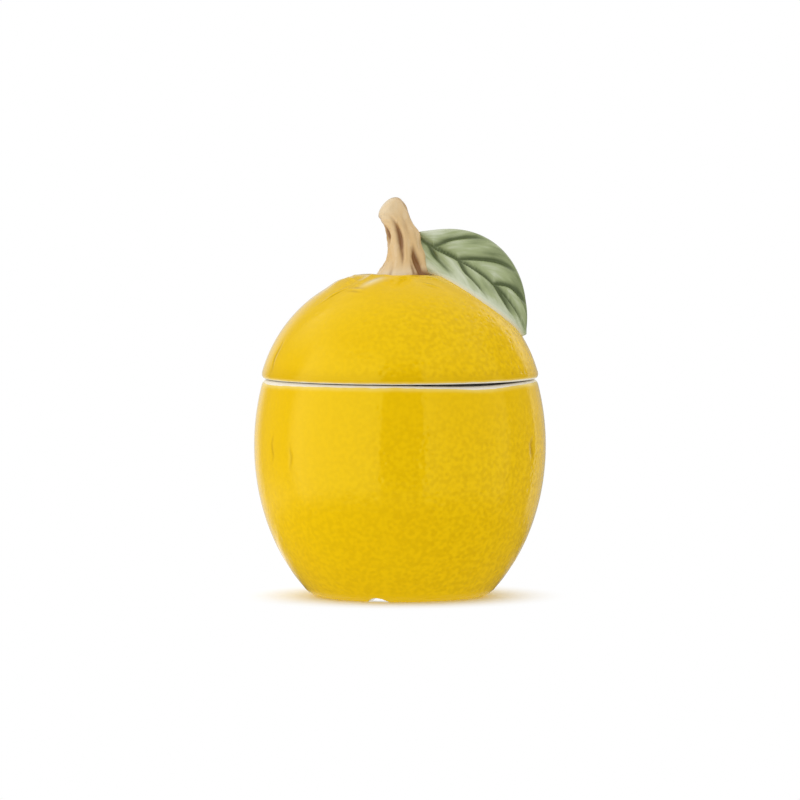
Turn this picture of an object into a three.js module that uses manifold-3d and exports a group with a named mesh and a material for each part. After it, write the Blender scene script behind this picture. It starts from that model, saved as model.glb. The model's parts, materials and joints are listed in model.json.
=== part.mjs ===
// Lidded jar in the shape of a round citrus fruit, in slip-cast stoneware. A hollow pot on a foot
// ring carries a domed lid that drops into its mouth. The knob of the lid is a gnarled stem, and one
// broad leaf grows from the stem and lies over the shoulder of the dome.
// Millimetres, +Z up. The origin is the centre of the foot ring, on the surface that the jar stands
// on, and the leaf hangs over the +X side.

import * as THREE from "three";
import { mergeVertices } from "three/addons/utils/BufferGeometryUtils.js";
import Module from "manifold-3d";

const wasm = await Module();
wasm.setup();

// Jar body
const bodyRadius = 60; // at its widest
const bodyHalfHeight = 77.5; // of the ellipse that the outside follows
const widestHeight = 62; // of the widest ring, above the table
const rimHeight = 89.2; // above the table
const bodyWall = 5;
const floorThickness = 6;
const floorCorner = 8; // rounding between the floor and the wall, inside
const footRecess = 2.5; // of the base inside the foot ring, above the table
const footRingWidth = 7.5;
const footEdge = 3.2; // rounding of the foot's outer edge
const rimEdge = 2.4; // rounding of the rim's outer edge
const mouthEdge = 1.2; // rounding of the rim's inner edge

// Drain notches in the foot ring
const notchCount = 3;
const notchWidth = 9; // at the table
const notchHeight = 1.9;
const notchAngle = THREE.MathUtils.degToRad(-105); // of the first one, from +X
const notchOverrun = 1; // past the inner edge of the ring

// Lid, in its own frame: its seat is at height 0
const lidOverhang = 1.2; // of the round of the dome past the round of the jar, at the seam
const domeRise = 45.7; // from the seat to the pole of that round
const lidWall = 5;
const lipEdge = 3; // rounding of the lip, outside the seat
const seatClearance = 0.3; // between the seat and the rim
const flangeClearance = 1.5; // between the flange and the mouth, all round
const flangeDepth = 9; // below the seat
const flangeThickness = 5;
const webRise = 13; // where the flange's inner face runs into the dome, above the seat
const ceilingBlend = 6; // rounding between the ceiling under the navel and the inside of the dome
const crownWidth = 7.4; // of the swelling between the round of the dome and the navel
const crownLift = 1.3; // how far that swelling is drawn up
const navelDepth = 0.9; // of the dish that the stem stands in, below its swelling
const navelMargin = 0.3; // between the stem's foot and the edge of the dish

// Stem, in its own frame: its foot is at height 0
const stemOffset = 1.8; // of its foot from the jar's axis, towards the leaf
const stemWaistRadius = 7.5;
const stemHeadRadius = 6.1; // where it is cut off
const stemFootRadius = 11.1;
const flareLength = 4.8; // over which the foot narrows to the waist
const stemTaperPower = 1.2; // how late the stem narrows from the waist to the head: 1 would be evenly
const stemStraight = 11; // upright length
const stemBendRadius = 26.5;
const stemBendAngle = THREE.MathUtils.degToRad(46);
const headLength = 3.2; // rounding of the cut end
const headCut = 0.9; // how far that rounding goes: 1 would be a full round end
const buttressReach = 2; // of the swelling under the leaf, past the waist
const buttressAngle = THREE.MathUtils.degToRad(-14); // of its middle, from +X
const buttressWidth = 0.7; // round the stem, in radians
const buttressTop = 13.5; // where it has run out, above the stem's foot
const buttressFade = 6; // length over which it runs out
const buttressFlare = 0.4; // share of the foot's flare that is left in front of it
const fluteCount = 8;
const fluteDepth = 1.3; // at the waist
const fluteTwist = 0.25; // turn of the flutes from the foot to the head, in radians
const fluteAngle = THREE.MathUtils.degToRad(-104); // of the first groove, from +X
const fluteFade = 0.5; // share of that depth lost by the head
const fluteVariation = 0.2; // share of that depth by which grooves differ
const fluteWaves = 3; // how often round the stem they get deeper and shallower
const toeDepth = 0.9; // how much deeper the grooves are between the toes of the foot

// Leaf
const leafRootHeight = 16.2; // of the midrib where it leaves the stem, above the stem's foot
const leafRootKick = 1.7; // how much further up the stem the root runs
const leafKickPower = 12; // how soon the midrib drops from there
const leafRootSink = 2; // how far the root reaches into the stem before it is fitted to it
const leafTipAngle = THREE.MathUtils.degToRad(59.5); // of the tip on the dome, from the pole
const leafArch = 7.5; // of the midrib over the dome
const leafDropPower = 4; // how soon the midrib drops from the stem towards the dome
const leafEdgeLift = 1.6; // of the near edge and the tip over the dome
const leafEndPower = 6; // how close to the tip that lift comes in, and to the root the dip
const leafNearReach = 18; // from the midrib to the near edge, which lies on the dome
const leafNearTaper = 0.9; // how early the near half narrows towards the tip
const leafNearRoot = 0.08; // how much of the near half's outline the stem takes, as a share
const leafNearDip = 4; // of the near edge at its root, down to the flat of the crown
const leafFarWidth = 18.7; // from the midrib to the far edge, which stands up
const leafFarTaper = 1.34;
const leafFarRoot = 0.01;
const leafFarTilt = THREE.MathUtils.degToRad(45); // of the far half, which faces -Y
const leafCup = 0.04; // sag of each half between the midrib and its edge, as a share of its width
const leafThickness = 4.2;
const leafEdgePower = 6; // how close to the edge the blade starts to round off
const leafTipPower = 10; // how close to the tip it does
const leafStart = 0.01; // where the root is squared off, inside the stem, as a share of the midrib's length
const leafEnd = 0.985; // where the tip is blunted
const midribRadius = 1.9; // of the round tool that the midrib is pressed with
const midribDepth = 0.95;
const veinRadius = 1.35;
const veinDepth = 0.65;
const veinCount = 3; // on each half
const veinFirst = 0.09; // where the first pair leaves the midrib, as a share of its length
const veinSpacing = 0.24; // as a share of the midrib's length
const veinStagger = 0.03; // by which the veins of the near half leave earlier, and the others later
const veinSweep = 0.27; // between the two ends of a vein, as a share of the midrib's length
const veinReach = 0.93; // of the way from the midrib to the edge
const veinBow = 1.2; // how far a vein bows towards the tip: 1 would be straight

const jointClearance = 0.3; // left for the slip that joins stem, leaf and dome

// Facets
const turnSteps = 48;
const stemSteps = 22;
const stemSides = 48;
const leafSteps = 26;
const leafColumns = 9; // across each half
const veinSides = 8;
const veinSteps = 9;
const nudge = 0.003; // step in u and v by which directions on the leaf are found

const point = (r, z) => new THREE.Vector2(r, z);

// A round shell of revolution: the outline has this radius and half height about this height.
const shell = (radius, halfHeight, centre) => ({ radius, halfHeight, centre });
const inset = (s, depth) => shell(s.radius - depth, s.halfHeight - depth, s.centre);
const radiusAt = (s, z) => s.radius * Math.sqrt(1 - ((z - s.centre) / s.halfHeight) ** 2);
const heightAt = (s, r) => s.centre + s.halfHeight * Math.sqrt(1 - (r / s.radius) ** 2);
const onShell = (s, z) => point(radiusAt(s, z), z);

// The stretch of a shell's outline between two heights.
function arcOf(s, fromZ, toZ) {
  const angle = (z) => Math.asin((z - s.centre) / s.halfHeight);
  const downwards = toZ < fromZ;
  return new THREE.EllipseCurve(0, s.centre, s.radius, s.halfHeight, angle(fromZ), angle(toZ), downwards);
}

const line = (from, to) => new THREE.LineCurve(from, to);
const bend = (from, corner, to) => new THREE.QuadraticBezierCurve(from, corner, to);

// A solid of revolution about Z. The outline is a run of curves, each with its number of steps, that
// goes from the axis along the underside, up the outside and back to the axis.
function turned(runs) {
  const outline = [];
  for (const [curve, steps] of runs) {
    outline.push(...curve.getPoints(steps).slice(outline.length ? 1 : 0));
  }
  return new THREE.LatheGeometry(outline, turnSteps).rotateX(Math.PI / 2);
}

// A closed skin over rings of equally many points, each counter-clockwise about the way the rings go.
function loft(rings) {
  const sides = rings[0].length;
  const centreOf = (ring) => ring.reduce((sum, p) => sum.add(p), new THREE.Vector3()).divideScalar(sides);
  const points = [...rings.flat(), centreOf(rings[0]), centreOf(rings.at(-1))];
  const startCentre = rings.length * sides;
  const lastRing = startCentre - sides;
  const index = [];
  for (let j = 0; j < sides; j++) {
    const next = (j + 1) % sides;
    for (let base = 0; base < lastRing; base += sides) {
      const [a, b, c, d] = [base + j, base + next, base + sides + next, base + sides + j];
      index.push(a, b, c, a, c, d);
    }
    index.push(startCentre, next, j);
    index.push(startCentre + 1, lastRing + j, lastRing + next);
  }
  return new THREE.BufferGeometry().setFromPoints(points).setIndex(index);
}

// A closed geometry as a solid that can be cut, and back again.
function solidOf(geometry) {
  const bare = geometry.clone();
  bare.deleteAttribute("normal");
  bare.deleteAttribute("uv");
  const merged = mergeVertices(bare);
  const vertProperties = merged.getAttribute("position").array;
  const triVerts = new Uint32Array(merged.index.array);
  return new wasm.Manifold(new wasm.Mesh({ numProp: 3, vertProperties, triVerts }));
}

function geometryOf(solid) {
  const { vertProperties, triVerts } = solid.getMesh();
  const geometry = new THREE.BufferGeometry();
  geometry.setAttribute("position", new THREE.BufferAttribute(vertProperties, 3));
  geometry.setIndex(new THREE.BufferAttribute(triVerts, 1));
  geometry.computeVertexNormals();
  return geometry;
}

const cut = (geometry, ...tools) =>
  geometryOf(tools.reduce((rest, tool) => rest.subtract(solidOf(tool)), solidOf(geometry)));

const glaze = (color, roughness) => new THREE.MeshStandardMaterial({ color, roughness, metalness: 0 });
const yellowGlaze = glaze(0xe8bd18, 0.18);
const barkGlaze = glaze(0xd8bb90, 0.3);
const leafGlaze = glaze(0x9fac80, 0.25);

function named(name, geometry, material) {
  const mesh = new THREE.Mesh(geometry, material);
  mesh.name = name;
  return mesh;
}

// Jar body: one even wall that follows the outside, over a flat floor
const bodyOuter = shell(bodyRadius, bodyHalfHeight, widestHeight);
const bodyInner = inset(bodyOuter, bodyWall);
const footRadius = radiusAt(bodyOuter, 0) - footEdge;
const footInnerRadius = footRadius - footRingWidth;
const floorHeight = footRecess + floorThickness;
const mouthRadius = radiusAt(bodyInner, rimHeight);

function jarBodyOutline() {
  const recessEdge = point(footInnerRadius - footRecess, footRecess);
  const footInner = point(footInnerRadius, 0);
  const footOuter = point(footRadius, 0);
  const wallStart = onShell(bodyOuter, footEdge);
  const wallEnd = onShell(bodyOuter, rimHeight - rimEdge);
  const rimOuter = point(radiusAt(bodyOuter, rimHeight) - rimEdge, rimHeight);
  const rimInner = point(mouthRadius + mouthEdge, rimHeight);
  const mouth = onShell(bodyInner, rimHeight - mouthEdge);
  const cornerStart = onShell(bodyInner, floorHeight + floorCorner);
  const cornerEnd = point(radiusAt(bodyInner, floorHeight) - floorCorner, floorHeight);
  return [
    [line(point(0, footRecess), recessEdge), 1],
    [line(recessEdge, footInner), 1],
    [line(footInner, footOuter), 1],
    [bend(footOuter, onShell(bodyOuter, 0), wallStart), 3],
    [arcOf(bodyOuter, wallStart.y, wallEnd.y), 15],
    [bend(wallEnd, onShell(bodyOuter, rimHeight), rimOuter), 3],
    [line(rimOuter, rimInner), 1],
    [bend(rimInner, point(mouthRadius, rimHeight), mouth), 2],
    [arcOf(bodyInner, mouth.y, cornerStart.y), 11],
    [bend(cornerStart, onShell(bodyInner, floorHeight), cornerEnd), 4],
    [line(cornerEnd, point(0, floorHeight)), 1],
  ];
}

// A round bar that lies across the foot ring and presses an arched notch into it.
function drainNotch(number) {
  const radius = (notchWidth ** 2 / 4 + notchHeight ** 2) / (2 * notchHeight);
  const inner = footInnerRadius - footRecess - notchOverrun;
  const length = bodyRadius - inner;
  const bar = new THREE.CylinderGeometry(radius, radius, length, turnSteps);
  bar.rotateZ(Math.PI / 2).translate(inner + length / 2, 0, notchHeight - radius);
  return bar.rotateZ(notchAngle + (number * 2 * Math.PI) / notchCount);
}

const jarBody = cut(turned(jarBodyOutline()), ...Array.from({ length: notchCount }, (_, i) => drainNotch(i)));

// Lid: a dome with a seat that rests on the rim and a flange that keeps it in the mouth
const domeBaseRadius = radiusAt(bodyOuter, rimHeight) + lidOverhang;
const domeCurve = (domeBaseRadius ** 2 + domeRise ** 2) / (2 * domeRise);
const domeOuter = shell(domeCurve, domeCurve, domeRise - domeCurve);
const domeInner = inset(domeOuter, lidWall);
const flangeRadius = mouthRadius - flangeClearance;
const flangeInnerRadius = flangeRadius - flangeThickness;
const buttressFoot = stemWaistRadius + buttressReach + (stemFootRadius - stemWaistRadius) * buttressFlare;
const navelRadius = Math.max(stemFootRadius, buttressFoot) + stemOffset + navelMargin;
const crownRadius = navelRadius + crownWidth;
const navelHeight = heightAt(domeOuter, crownRadius) + crownLift / 2 - navelDepth;

// The outside of the dome from the lip to the navel, grown by a clearance where a piece is fitted to it.
function domeTop(grow) {
  const round = inset(domeOuter, -grow);
  const lip = onShell(round, lipEdge);
  const crown = point(crownRadius, heightAt(round, crownRadius));
  const swelling = point((crownRadius + navelRadius) / 2, crown.y + crownLift);
  const navelEdge = point(navelRadius, navelHeight + grow);
  return [
    [arcOf(round, lip.y, crown.y), 12],
    [bend(crown, swelling, navelEdge), 5],
    [line(navelEdge, point(0, navelEdge.y)), 1],
  ];
}

function lidOutline() {
  const ceilingHeight = navelHeight - lidWall;
  const ceilingEdge = radiusAt(domeInner, ceilingHeight);
  const ceilingStart = point(ceilingEdge - ceilingBlend, ceilingHeight);
  const domeStartRadius = ceilingEdge + ceilingBlend;
  const domeStart = point(domeStartRadius, heightAt(domeInner, domeStartRadius));
  const domeEnd = onShell(domeInner, webRise);
  const flangeInnerTop = point(flangeInnerRadius, 0);
  const flangeInnerEnd = point(flangeInnerRadius, -flangeDepth);
  const flangeOuterEnd = point(flangeRadius, -flangeDepth);
  const seatInner = point(flangeRadius, 0);
  const seatOuter = point(domeBaseRadius - lipEdge, 0);
  const lip = onShell(domeOuter, lipEdge);
  return [
    [line(point(0, ceilingHeight), ceilingStart), 1],
    [bend(ceilingStart, point(ceilingEdge, ceilingHeight), domeStart), 3],
    [arcOf(domeInner, domeStart.y, domeEnd.y), 8],
    [bend(domeEnd, point(flangeInnerRadius, webRise / 2), flangeInnerTop), 3],
    [line(flangeInnerTop, flangeInnerEnd), 1],
    [line(flangeInnerEnd, flangeOuterEnd), 1],
    [line(flangeOuterEnd, seatInner), 1],
    [line(seatInner, seatOuter), 1],
    [bend(seatOuter, onShell(domeOuter, 0), lip), 4],
    ...domeTop(0),
  ];
}

// The outside of the dome as a full solid, grown by a clearance, to fit other pieces to.
function domeForm(grow) {
  const lip = onShell(inset(domeOuter, -grow), lipEdge);
  return turned([[line(point(0, lipEdge), lip), 1], ...domeTop(grow)]);
}

// Stem: a fluted bough that flares into toes at its foot, swells under the leaf, bends away from it
// and ends in a slanting, rounded cut
const stemBase = navelHeight + jointClearance;
const stemLength = stemStraight + stemBendRadius * stemBendAngle;

// The centre of the stem at a distance along it, with the two directions across it.
function stemStation(along) {
  const angle = Math.max(0, along - stemStraight) / stemBendRadius;
  const upright = Math.min(along, stemStraight);
  const centre = new THREE.Vector3(
    stemOffset - stemBendRadius * (1 - Math.cos(angle)),
    0,
    upright + stemBendRadius * Math.sin(angle),
  );
  const across = new THREE.Vector3(Math.cos(angle), 0, Math.sin(angle));
  return { centre, across, side: new THREE.Vector3(0, 1, 0) };
}

// The radius of the stem at a distance along it and an angle round it.
function stemRadius(along, angle) {
  const flare = Math.exp(-((along / flareLength) ** 2));
  const head = Math.max(0, (along - stemLength + headLength) / headLength);
  const headRound = Math.sqrt(1 - headCut * head ** 2);
  const taper = THREE.MathUtils.lerp(stemWaistRadius, stemHeadRadius, (along / stemLength) ** stemTaperPower);
  const turn = angle - fluteAngle - (fluteTwist * along) / stemLength;
  const groove = ((1 + Math.cos(fluteCount * turn)) / 2) ** 2;
  const uneven = 1 - fluteVariation * (1 - Math.cos(fluteWaves * turn));
  const fade = (1 - head) * (1 - (fluteFade * along) / stemLength);
  const depth = (fluteDepth + toeDepth * flare) * uneven * fade;
  const aside = Math.atan2(Math.sin(angle - buttressAngle), Math.cos(angle - buttressAngle));
  const swelling = Math.exp(-((aside / buttressWidth) ** 2));
  const runOut = 1 - THREE.MathUtils.smoothstep(along, buttressTop - buttressFade, buttressTop);
  const foot = (stemFootRadius - stemWaistRadius) * flare * (1 - (1 - buttressFlare) * swelling);
  return (taper + foot + buttressReach * swelling * runOut) * headRound - depth * groove;
}

function stemForm(grow) {
  const rings = [];
  for (let i = 0; i <= stemSteps; i++) {
    const along = (stemLength * (1 - Math.cos((Math.PI * i) / stemSteps))) / 2;
    const { centre, across, side } = stemStation(along);
    const ring = [];
    for (let j = 0; j < stemSides; j++) {
      const angle = (2 * Math.PI * j) / stemSides;
      const radius = stemRadius(along, angle) + grow;
      const outwards = across.clone().multiplyScalar(Math.cos(angle)).addScaledVector(side, Math.sin(angle));
      ring.push(centre.clone().addScaledVector(outwards, radius));
    }
    rings.push(ring);
  }
  return loft(rings);
}

// Leaf: a cupped blade on an arched midrib. Its near edge lies on the dome and its far edge stands up
const leafRootX = stemOffset + stemWaistRadius - leafRootSink;
const leafRootZ = stemBase + leafRootHeight - domeOuter.centre;
const leafRootAngle = Math.atan2(leafRootX, leafRootZ);
const leafRootLift = Math.hypot(leafRootX, leafRootZ) - domeCurve;
const leafNearRootAngle = Math.asin(leafRootX / domeCurve);

// The outline of half a leaf, from its root, u = 0, to its tip, u = 1: it is 1 where it is widest.
function halfOutline(u, taper, root) {
  const t = (u + root) / (1 + root);
  const widest = 1 / (1 + taper);
  return (t / widest) * ((1 - t) / (1 - widest)) ** taper;
}

// A point at a height over the round of the dome, at an angle from its pole and a distance to +Y.
function overDome(polar, aside, lift) {
  const reach = Math.sqrt((domeCurve + lift) ** 2 - aside ** 2);
  return new THREE.Vector3(reach * Math.sin(polar), aside, reach * Math.cos(polar) + domeOuter.centre);
}

const ribAngle = (u) => THREE.MathUtils.lerp(leafRootAngle, leafTipAngle, u);

// The midrib drops from the stem, arches over the dome and comes down on it at the tip.
function ribLift(u) {
  const drop = leafRootLift * (1 - u) ** leafDropPower + leafRootKick * (1 - u) ** leafKickPower;
  return drop + leafArch * 4 * u * (1 - u) + leafEdgeLift * u ** leafEndPower;
}

const midrib = (u) => overDome(ribAngle(u), 0, ribLift(u));

function nearEdge(u) {
  const polar = THREE.MathUtils.lerp(leafNearRootAngle, leafTipAngle, u);
  const aside = -leafNearReach * halfOutline(u, leafNearTaper, leafNearRoot);
  return overDome(polar, aside, leafEdgeLift - leafNearDip * (1 - u) ** leafEndPower);
}

function farEdge(u) {
  const width = leafFarWidth * halfOutline(u, leafFarTaper, leafFarRoot);
  const edge = overDome(ribAngle(u), 0, ribLift(u) + width * Math.sin(leafFarTilt));
  return edge.setY(width * Math.cos(leafFarTilt));
}

// The upper face of the blade, before its edges are rounded and its veins are pressed: u runs along
// the midrib and v across it, from -1 at the near edge to 1 at the far edge.
function leafFace(u, v) {
  const rib = midrib(u);
  const span = (v < 0 ? nearEdge(u) : farEdge(u)).sub(rib);
  const along = midrib(u + nudge).sub(midrib(u - nudge));
  const up = along.cross(span).normalize().multiplyScalar(v < 0 ? -1 : 1);
  const t = Math.abs(v);
  const sag = leafCup * span.length() * 4 * t * (1 - t);
  return rib.addScaledVector(span, t).addScaledVector(up, -sag);
}

// A point at a height over that face.
function leafPoint(u, v, proud) {
  const along = leafFace(u + nudge, v).sub(leafFace(u - nudge, v));
  const across = leafFace(u, v + nudge).sub(leafFace(u, v - nudge));
  return leafFace(u, v).addScaledVector(along.cross(across).normalize(), proud);
}

function leafBlade() {
  const rings = [];
  for (let i = 0; i <= leafSteps; i++) {
    const u = THREE.MathUtils.lerp(leafStart, leafEnd, i / leafSteps);
    const under = [];
    const over = [];
    for (let j = -leafColumns; j <= leafColumns; j++) {
      const v = Math.sin(((j / leafColumns) * Math.PI) / 2);
      const round = Math.sqrt((1 - v ** leafEdgePower) * (1 - u ** leafTipPower));
      const half = (leafThickness / 2) * round;
      under.push(leafPoint(u, v, -half - leafThickness / 2));
      if (Math.abs(j) < leafColumns) over.unshift(leafPoint(u, v, half - leafThickness / 2));
    }
    rings.push([...under, ...over]);
  }
  return loft(rings);
}

// A round tool drawn along the upper face, which runs out where its depth comes to nothing.
function veinTool(radius, depth, uAt, vAt) {
  const path = [];
  for (let i = 0; i <= veinSteps; i++) {
    const t = i / veinSteps;
    path.push(leafPoint(uAt(t), vAt(t), radius - depth * (1 - t ** 2)));
  }
  const section = new THREE.Shape();
  section.absarc(0, 0, radius, 0, 2 * Math.PI);
  return new THREE.ExtrudeGeometry(section, {
    steps: 2 * veinSteps,
    curveSegments: veinSides,
    extrudePath: new THREE.CatmullRomCurve3(path),
  });
}

function veinTools() {
  const along = (t) => leafEnd * t;
  const tools = [veinTool(midribRadius, midribDepth, along, () => 0)];
  for (const half of [-1, 1]) {
    for (let i = 0; i < veinCount; i++) {
      const start = veinFirst + veinSpacing * i + veinStagger * half;
      const uAt = (t) => start + veinSweep * t ** veinBow;
      const vAt = (t) => half * veinReach * t;
      tools.push(veinTool(veinRadius, veinDepth, uAt, vAt));
    }
  }
  return tools;
}

function leafForm() {
  const fittedStem = stemForm(jointClearance).translate(0, 0, stemBase);
  return cut(leafBlade(), ...veinTools(), fittedStem, domeForm(jointClearance));
}

const stem = named("stem_knob", stemForm(0), barkGlaze);
stem.position.z = stemBase;

const lid = new THREE.Group();
lid.add(named("lid_dome", turned(lidOutline()), yellowGlaze));
lid.add(stem);
lid.add(named("leaf", leafForm(), leafGlaze));
lid.position.z = rimHeight + seatClearance;

const jar = new THREE.Group();
jar.add(named("jar_body", jarBody, yellowGlaze));
jar.add(lid);

export default jar;
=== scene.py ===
# Glazed looks of the lidded citrus jar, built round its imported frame. +Z is up.
import json
import math

import bpy
import numpy as np
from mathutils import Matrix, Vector

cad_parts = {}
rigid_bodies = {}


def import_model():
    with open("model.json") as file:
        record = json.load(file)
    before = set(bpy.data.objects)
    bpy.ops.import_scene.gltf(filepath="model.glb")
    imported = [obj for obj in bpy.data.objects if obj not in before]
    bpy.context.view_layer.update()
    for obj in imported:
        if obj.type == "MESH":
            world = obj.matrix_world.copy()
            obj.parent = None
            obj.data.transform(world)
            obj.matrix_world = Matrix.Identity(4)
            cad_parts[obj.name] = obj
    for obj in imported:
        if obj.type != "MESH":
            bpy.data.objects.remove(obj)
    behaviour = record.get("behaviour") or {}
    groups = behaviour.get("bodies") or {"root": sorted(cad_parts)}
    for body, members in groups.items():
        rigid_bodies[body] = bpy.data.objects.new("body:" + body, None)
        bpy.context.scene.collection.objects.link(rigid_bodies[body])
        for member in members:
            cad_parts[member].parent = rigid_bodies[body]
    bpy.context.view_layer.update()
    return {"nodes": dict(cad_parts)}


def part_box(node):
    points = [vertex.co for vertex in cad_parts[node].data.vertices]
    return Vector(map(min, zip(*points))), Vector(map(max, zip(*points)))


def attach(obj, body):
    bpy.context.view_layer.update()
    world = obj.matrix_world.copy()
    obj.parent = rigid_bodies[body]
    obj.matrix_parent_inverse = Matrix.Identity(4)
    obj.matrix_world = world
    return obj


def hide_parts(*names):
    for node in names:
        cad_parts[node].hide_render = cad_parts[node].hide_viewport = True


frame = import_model()
scene = bpy.context.scene
mm = 0.001  # the sizes below are in millimetres
print("frame loaded:", ", ".join(sorted(frame["nodes"])))


# Node trees

class Wire:  # an output socket that can stand in sums: each operator adds a Math node to its tree
    def __init__(self, tree, socket=None):
        self.tree = tree
        self.socket = socket

    def node(self, kind, settings=None, sockets=None, out=0):
        made = self.tree.nodes.new(kind)
        for name, value in (settings or {}).items():
            setattr(made, name, value)
        for name, value in (sockets or {}).items():
            socket = next(s for s in made.inputs if s.enabled and name in (s.identifier, s.name))
            if isinstance(value, Wire):
                self.tree.links.new(value.socket, socket)
            else:
                socket.default_value = value
        outputs = [s for s in made.outputs if s.enabled]
        if not outputs:
            return None
        named = {s.name: Wire(self.tree, s) for s in reversed(outputs)}
        if isinstance(out, tuple):
            return [named[name] for name in out]
        return named[out] if isinstance(out, str) else Wire(self.tree, outputs[out])

    def math(self, operation, *values):
        sockets = dict(zip(("Value", "Value_001", "Value_002"), values))
        return self.node("ShaderNodeMath", {"operation": operation}, sockets)

    def __add__(self, other):
        return self.math("ADD", self, other)

    def __radd__(self, other):
        return self.math("ADD", other, self)

    def __sub__(self, other):
        return self.math("SUBTRACT", self, other)

    def __rsub__(self, other):
        return self.math("SUBTRACT", other, self)

    def __mul__(self, other):
        return self.math("MULTIPLY", self, other)

    def __rmul__(self, other):
        return self.math("MULTIPLY", other, self)

    def __truediv__(self, other):
        return self.math("DIVIDE", self, other)

    def __rtruediv__(self, other):
        return self.math("DIVIDE", other, self)

    def __pow__(self, other):
        return self.math("POWER", self, other)

    def __neg__(self):
        return self.math("MULTIPLY", self, -1.0)

    def ramp(self, low, high):  # rises smoothly from 0 at low to 1 at high
        sockets = {"Value": self, "From Min": low, "From Max": high}
        return self.node("ShaderNodeMapRange", {"interpolation_type": "SMOOTHSTEP"}, sockets)

    def mix(self, first, second):  # two colours, by this share of the second
        sockets = {"Factor": self, "A": first, "B": second}
        return self.node("ShaderNodeMix", {"data_type": "RGBA"}, sockets)

    def scale(self, vector, by):
        return self.node("ShaderNodeVectorMath", {"operation": "SCALE"}, {"Vector": vector, "Scale": by})

    def plus(self, vector, other):
        sockets = {"Vector": vector, "Vector_001": other}
        return self.node("ShaderNodeVectorMath", {"operation": "ADD"}, sockets)


inputKinds = {"Outline": "Geometry", "Turn Steps": "Int", "Material": "Material"}  # the rest are numbers


def newTree(name, values):  # an empty Geometry Nodes tree with an outline and its named inputs
    tree = bpy.data.node_groups.new(name, "GeometryNodeTree")
    tree.interface.new_socket("Geometry", in_out="OUTPUT", socket_type="NodeSocketGeometry")
    labels = ("Outline", *values)
    for label in labels:
        kind = "NodeSocket" + inputKinds.get(label, "Float")
        tree.interface.new_socket(label, in_out="INPUT", socket_type=kind)
    group = tree.nodes.new("NodeGroupInput")
    return Wire(tree), {label: Wire(tree, group.outputs[label]) for label in labels}


def endTree(g, mesh, material):  # every tree ends in plain, smooth geometry with its material
    smooth = g.node("GeometryNodeSetShadeSmooth", {}, {"Geometry": mesh})
    real = g.node("GeometryNodeRealizeInstances", {}, {"Geometry": smooth})
    dressed = g.node("GeometryNodeSetMaterial", {}, {"Geometry": real, "Material": material})
    g.node("NodeGroupOutput", {}, {"Geometry": dressed})
    return g.tree


def runTree(piece, tree, values):  # turns what the tree makes into the piece's own plain mesh
    modifier = piece.modifiers.new(tree.name, "NODES")
    modifier.node_group = tree
    for item in tree.interface.items_tree:
        if item.in_out == "INPUT" and item.name in values:
            modifier[item.identifier] = values[item.name]
    evaluated = piece.evaluated_get(bpy.context.evaluated_depsgraph_get())
    made = bpy.data.meshes.new_from_object(evaluated)
    piece.modifiers.remove(modifier)
    piece.data = made
    made.name = piece.name


def addPiece(name, mesh):
    piece = bpy.data.objects.new(name, mesh)
    scene.collection.objects.link(piece)
    return piece


def setAttribute(mesh, name, values):
    attribute = mesh.attributes.new(name, "FLOAT", "POINT")
    attribute.data.foreach_set("value", np.asarray(values, dtype=np.float32).ravel())


# Glazes

def newMaterial(name):
    material = bpy.data.materials.new(name)
    material.use_nodes = True
    shader = material.node_tree.nodes["Principled BSDF"]
    return material, Wire(material.node_tree), shader


def feed(g, shader, sockets):  # what changes over the surface
    for name, value in sockets.items():
        g.tree.links.new(value.socket, shader.inputs[name])


def fix(shader, sockets):  # what is the same all over it
    for name, value in sockets.items():
        shader.inputs[name].default_value = value


def objectPoint(g):
    return g.node("ShaderNodeTexCoord", {}, {}, "Object")


def attribute(g, name):
    return g.node("ShaderNodeAttribute", {"attribute_name": name}, {}, "Fac")


def noise(g, point, size, detail=2.0, seed=0.0):
    sockets = {"Vector": point, "Scale": 1 / (size * mm), "Detail": detail, "W": seed}
    return g.node("ShaderNodeTexNoise", {"noise_dimensions": "4D"}, sockets, "Fac")


def bump(g, height, depth):
    return g.node("ShaderNodeBump", {}, {"Height": height, "Distance": depth * mm})


yellowLook = {
    "glaze": (0.84, 0.537, 0.0028, 1),
    "deep": (0.56, 0.33, 0.001, 1),  # where it is thick, and as painted shade at the lid's lower edge and along its fold feet
    "warm": (0.84, 0.515, 0.0022, 1),  # in clouds
    "thin": (0.86, 0.66, 0.16, 1),  # towards a bare edge
    "slip": (0.82, 0.71, 0.46, 1),  # smeared round the stem
    "clay": (0.80, 0.75, 0.67, 1),
    "seat": (0.34, 0.31, 0.27, 1),  # clay worn where lid and jar touch, painted dark as the shade in the seam between them
    "lining": (0.87, 0.855, 0.81, 1),
    "liningPooledShade": (0.5, 0.485, 0.43, 1),  # glaze pooled towards the floor inside, and painted shade there, darker down in the hollow
    "liningFloor": (4, 8),  # heights that part the base from the floor inside
    "liningPoolShadeRun": (9, 66),  # heights over which the pooling and the painted shade run out
    "cloudSize": 22,
    "cloudRange": (0.35, 0.7),
    "cloudShare": 0.4,
    "thick": 0.2,  # share of the deep colour, all over
    "poolShare": 0.12,
    "dentShare": 0.7,
    "mottleSize": 1.8,
    "mottleRange": (0.25, 0.75),
    "mottleShare": 0.48,
    "edgeWave": 7,  # size of the waves in the line where the glaze stops
    "edgeWaveDepth": 0.5,
    "edgeSoft": 0.12,
    "wornShadeRun": (-4.0, -2.5),  # how far back the glaze lies where the clay is worn and painted dark as the seam's shade
    "thinReach": 2.6,
    "thinShare": 0.75,
    "fineGrain": 0.9,
    "fineDepth": 0.01,
    "poreDepth": 0.06,
    "roughness": 0.045,
    "grainRoughness": 0.05,
    "clayRoughness": 0.5,
    "specular": 0.6,
    "tint": (1.0, 1.0, 0.17, 1),  # of the highlights
}


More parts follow.
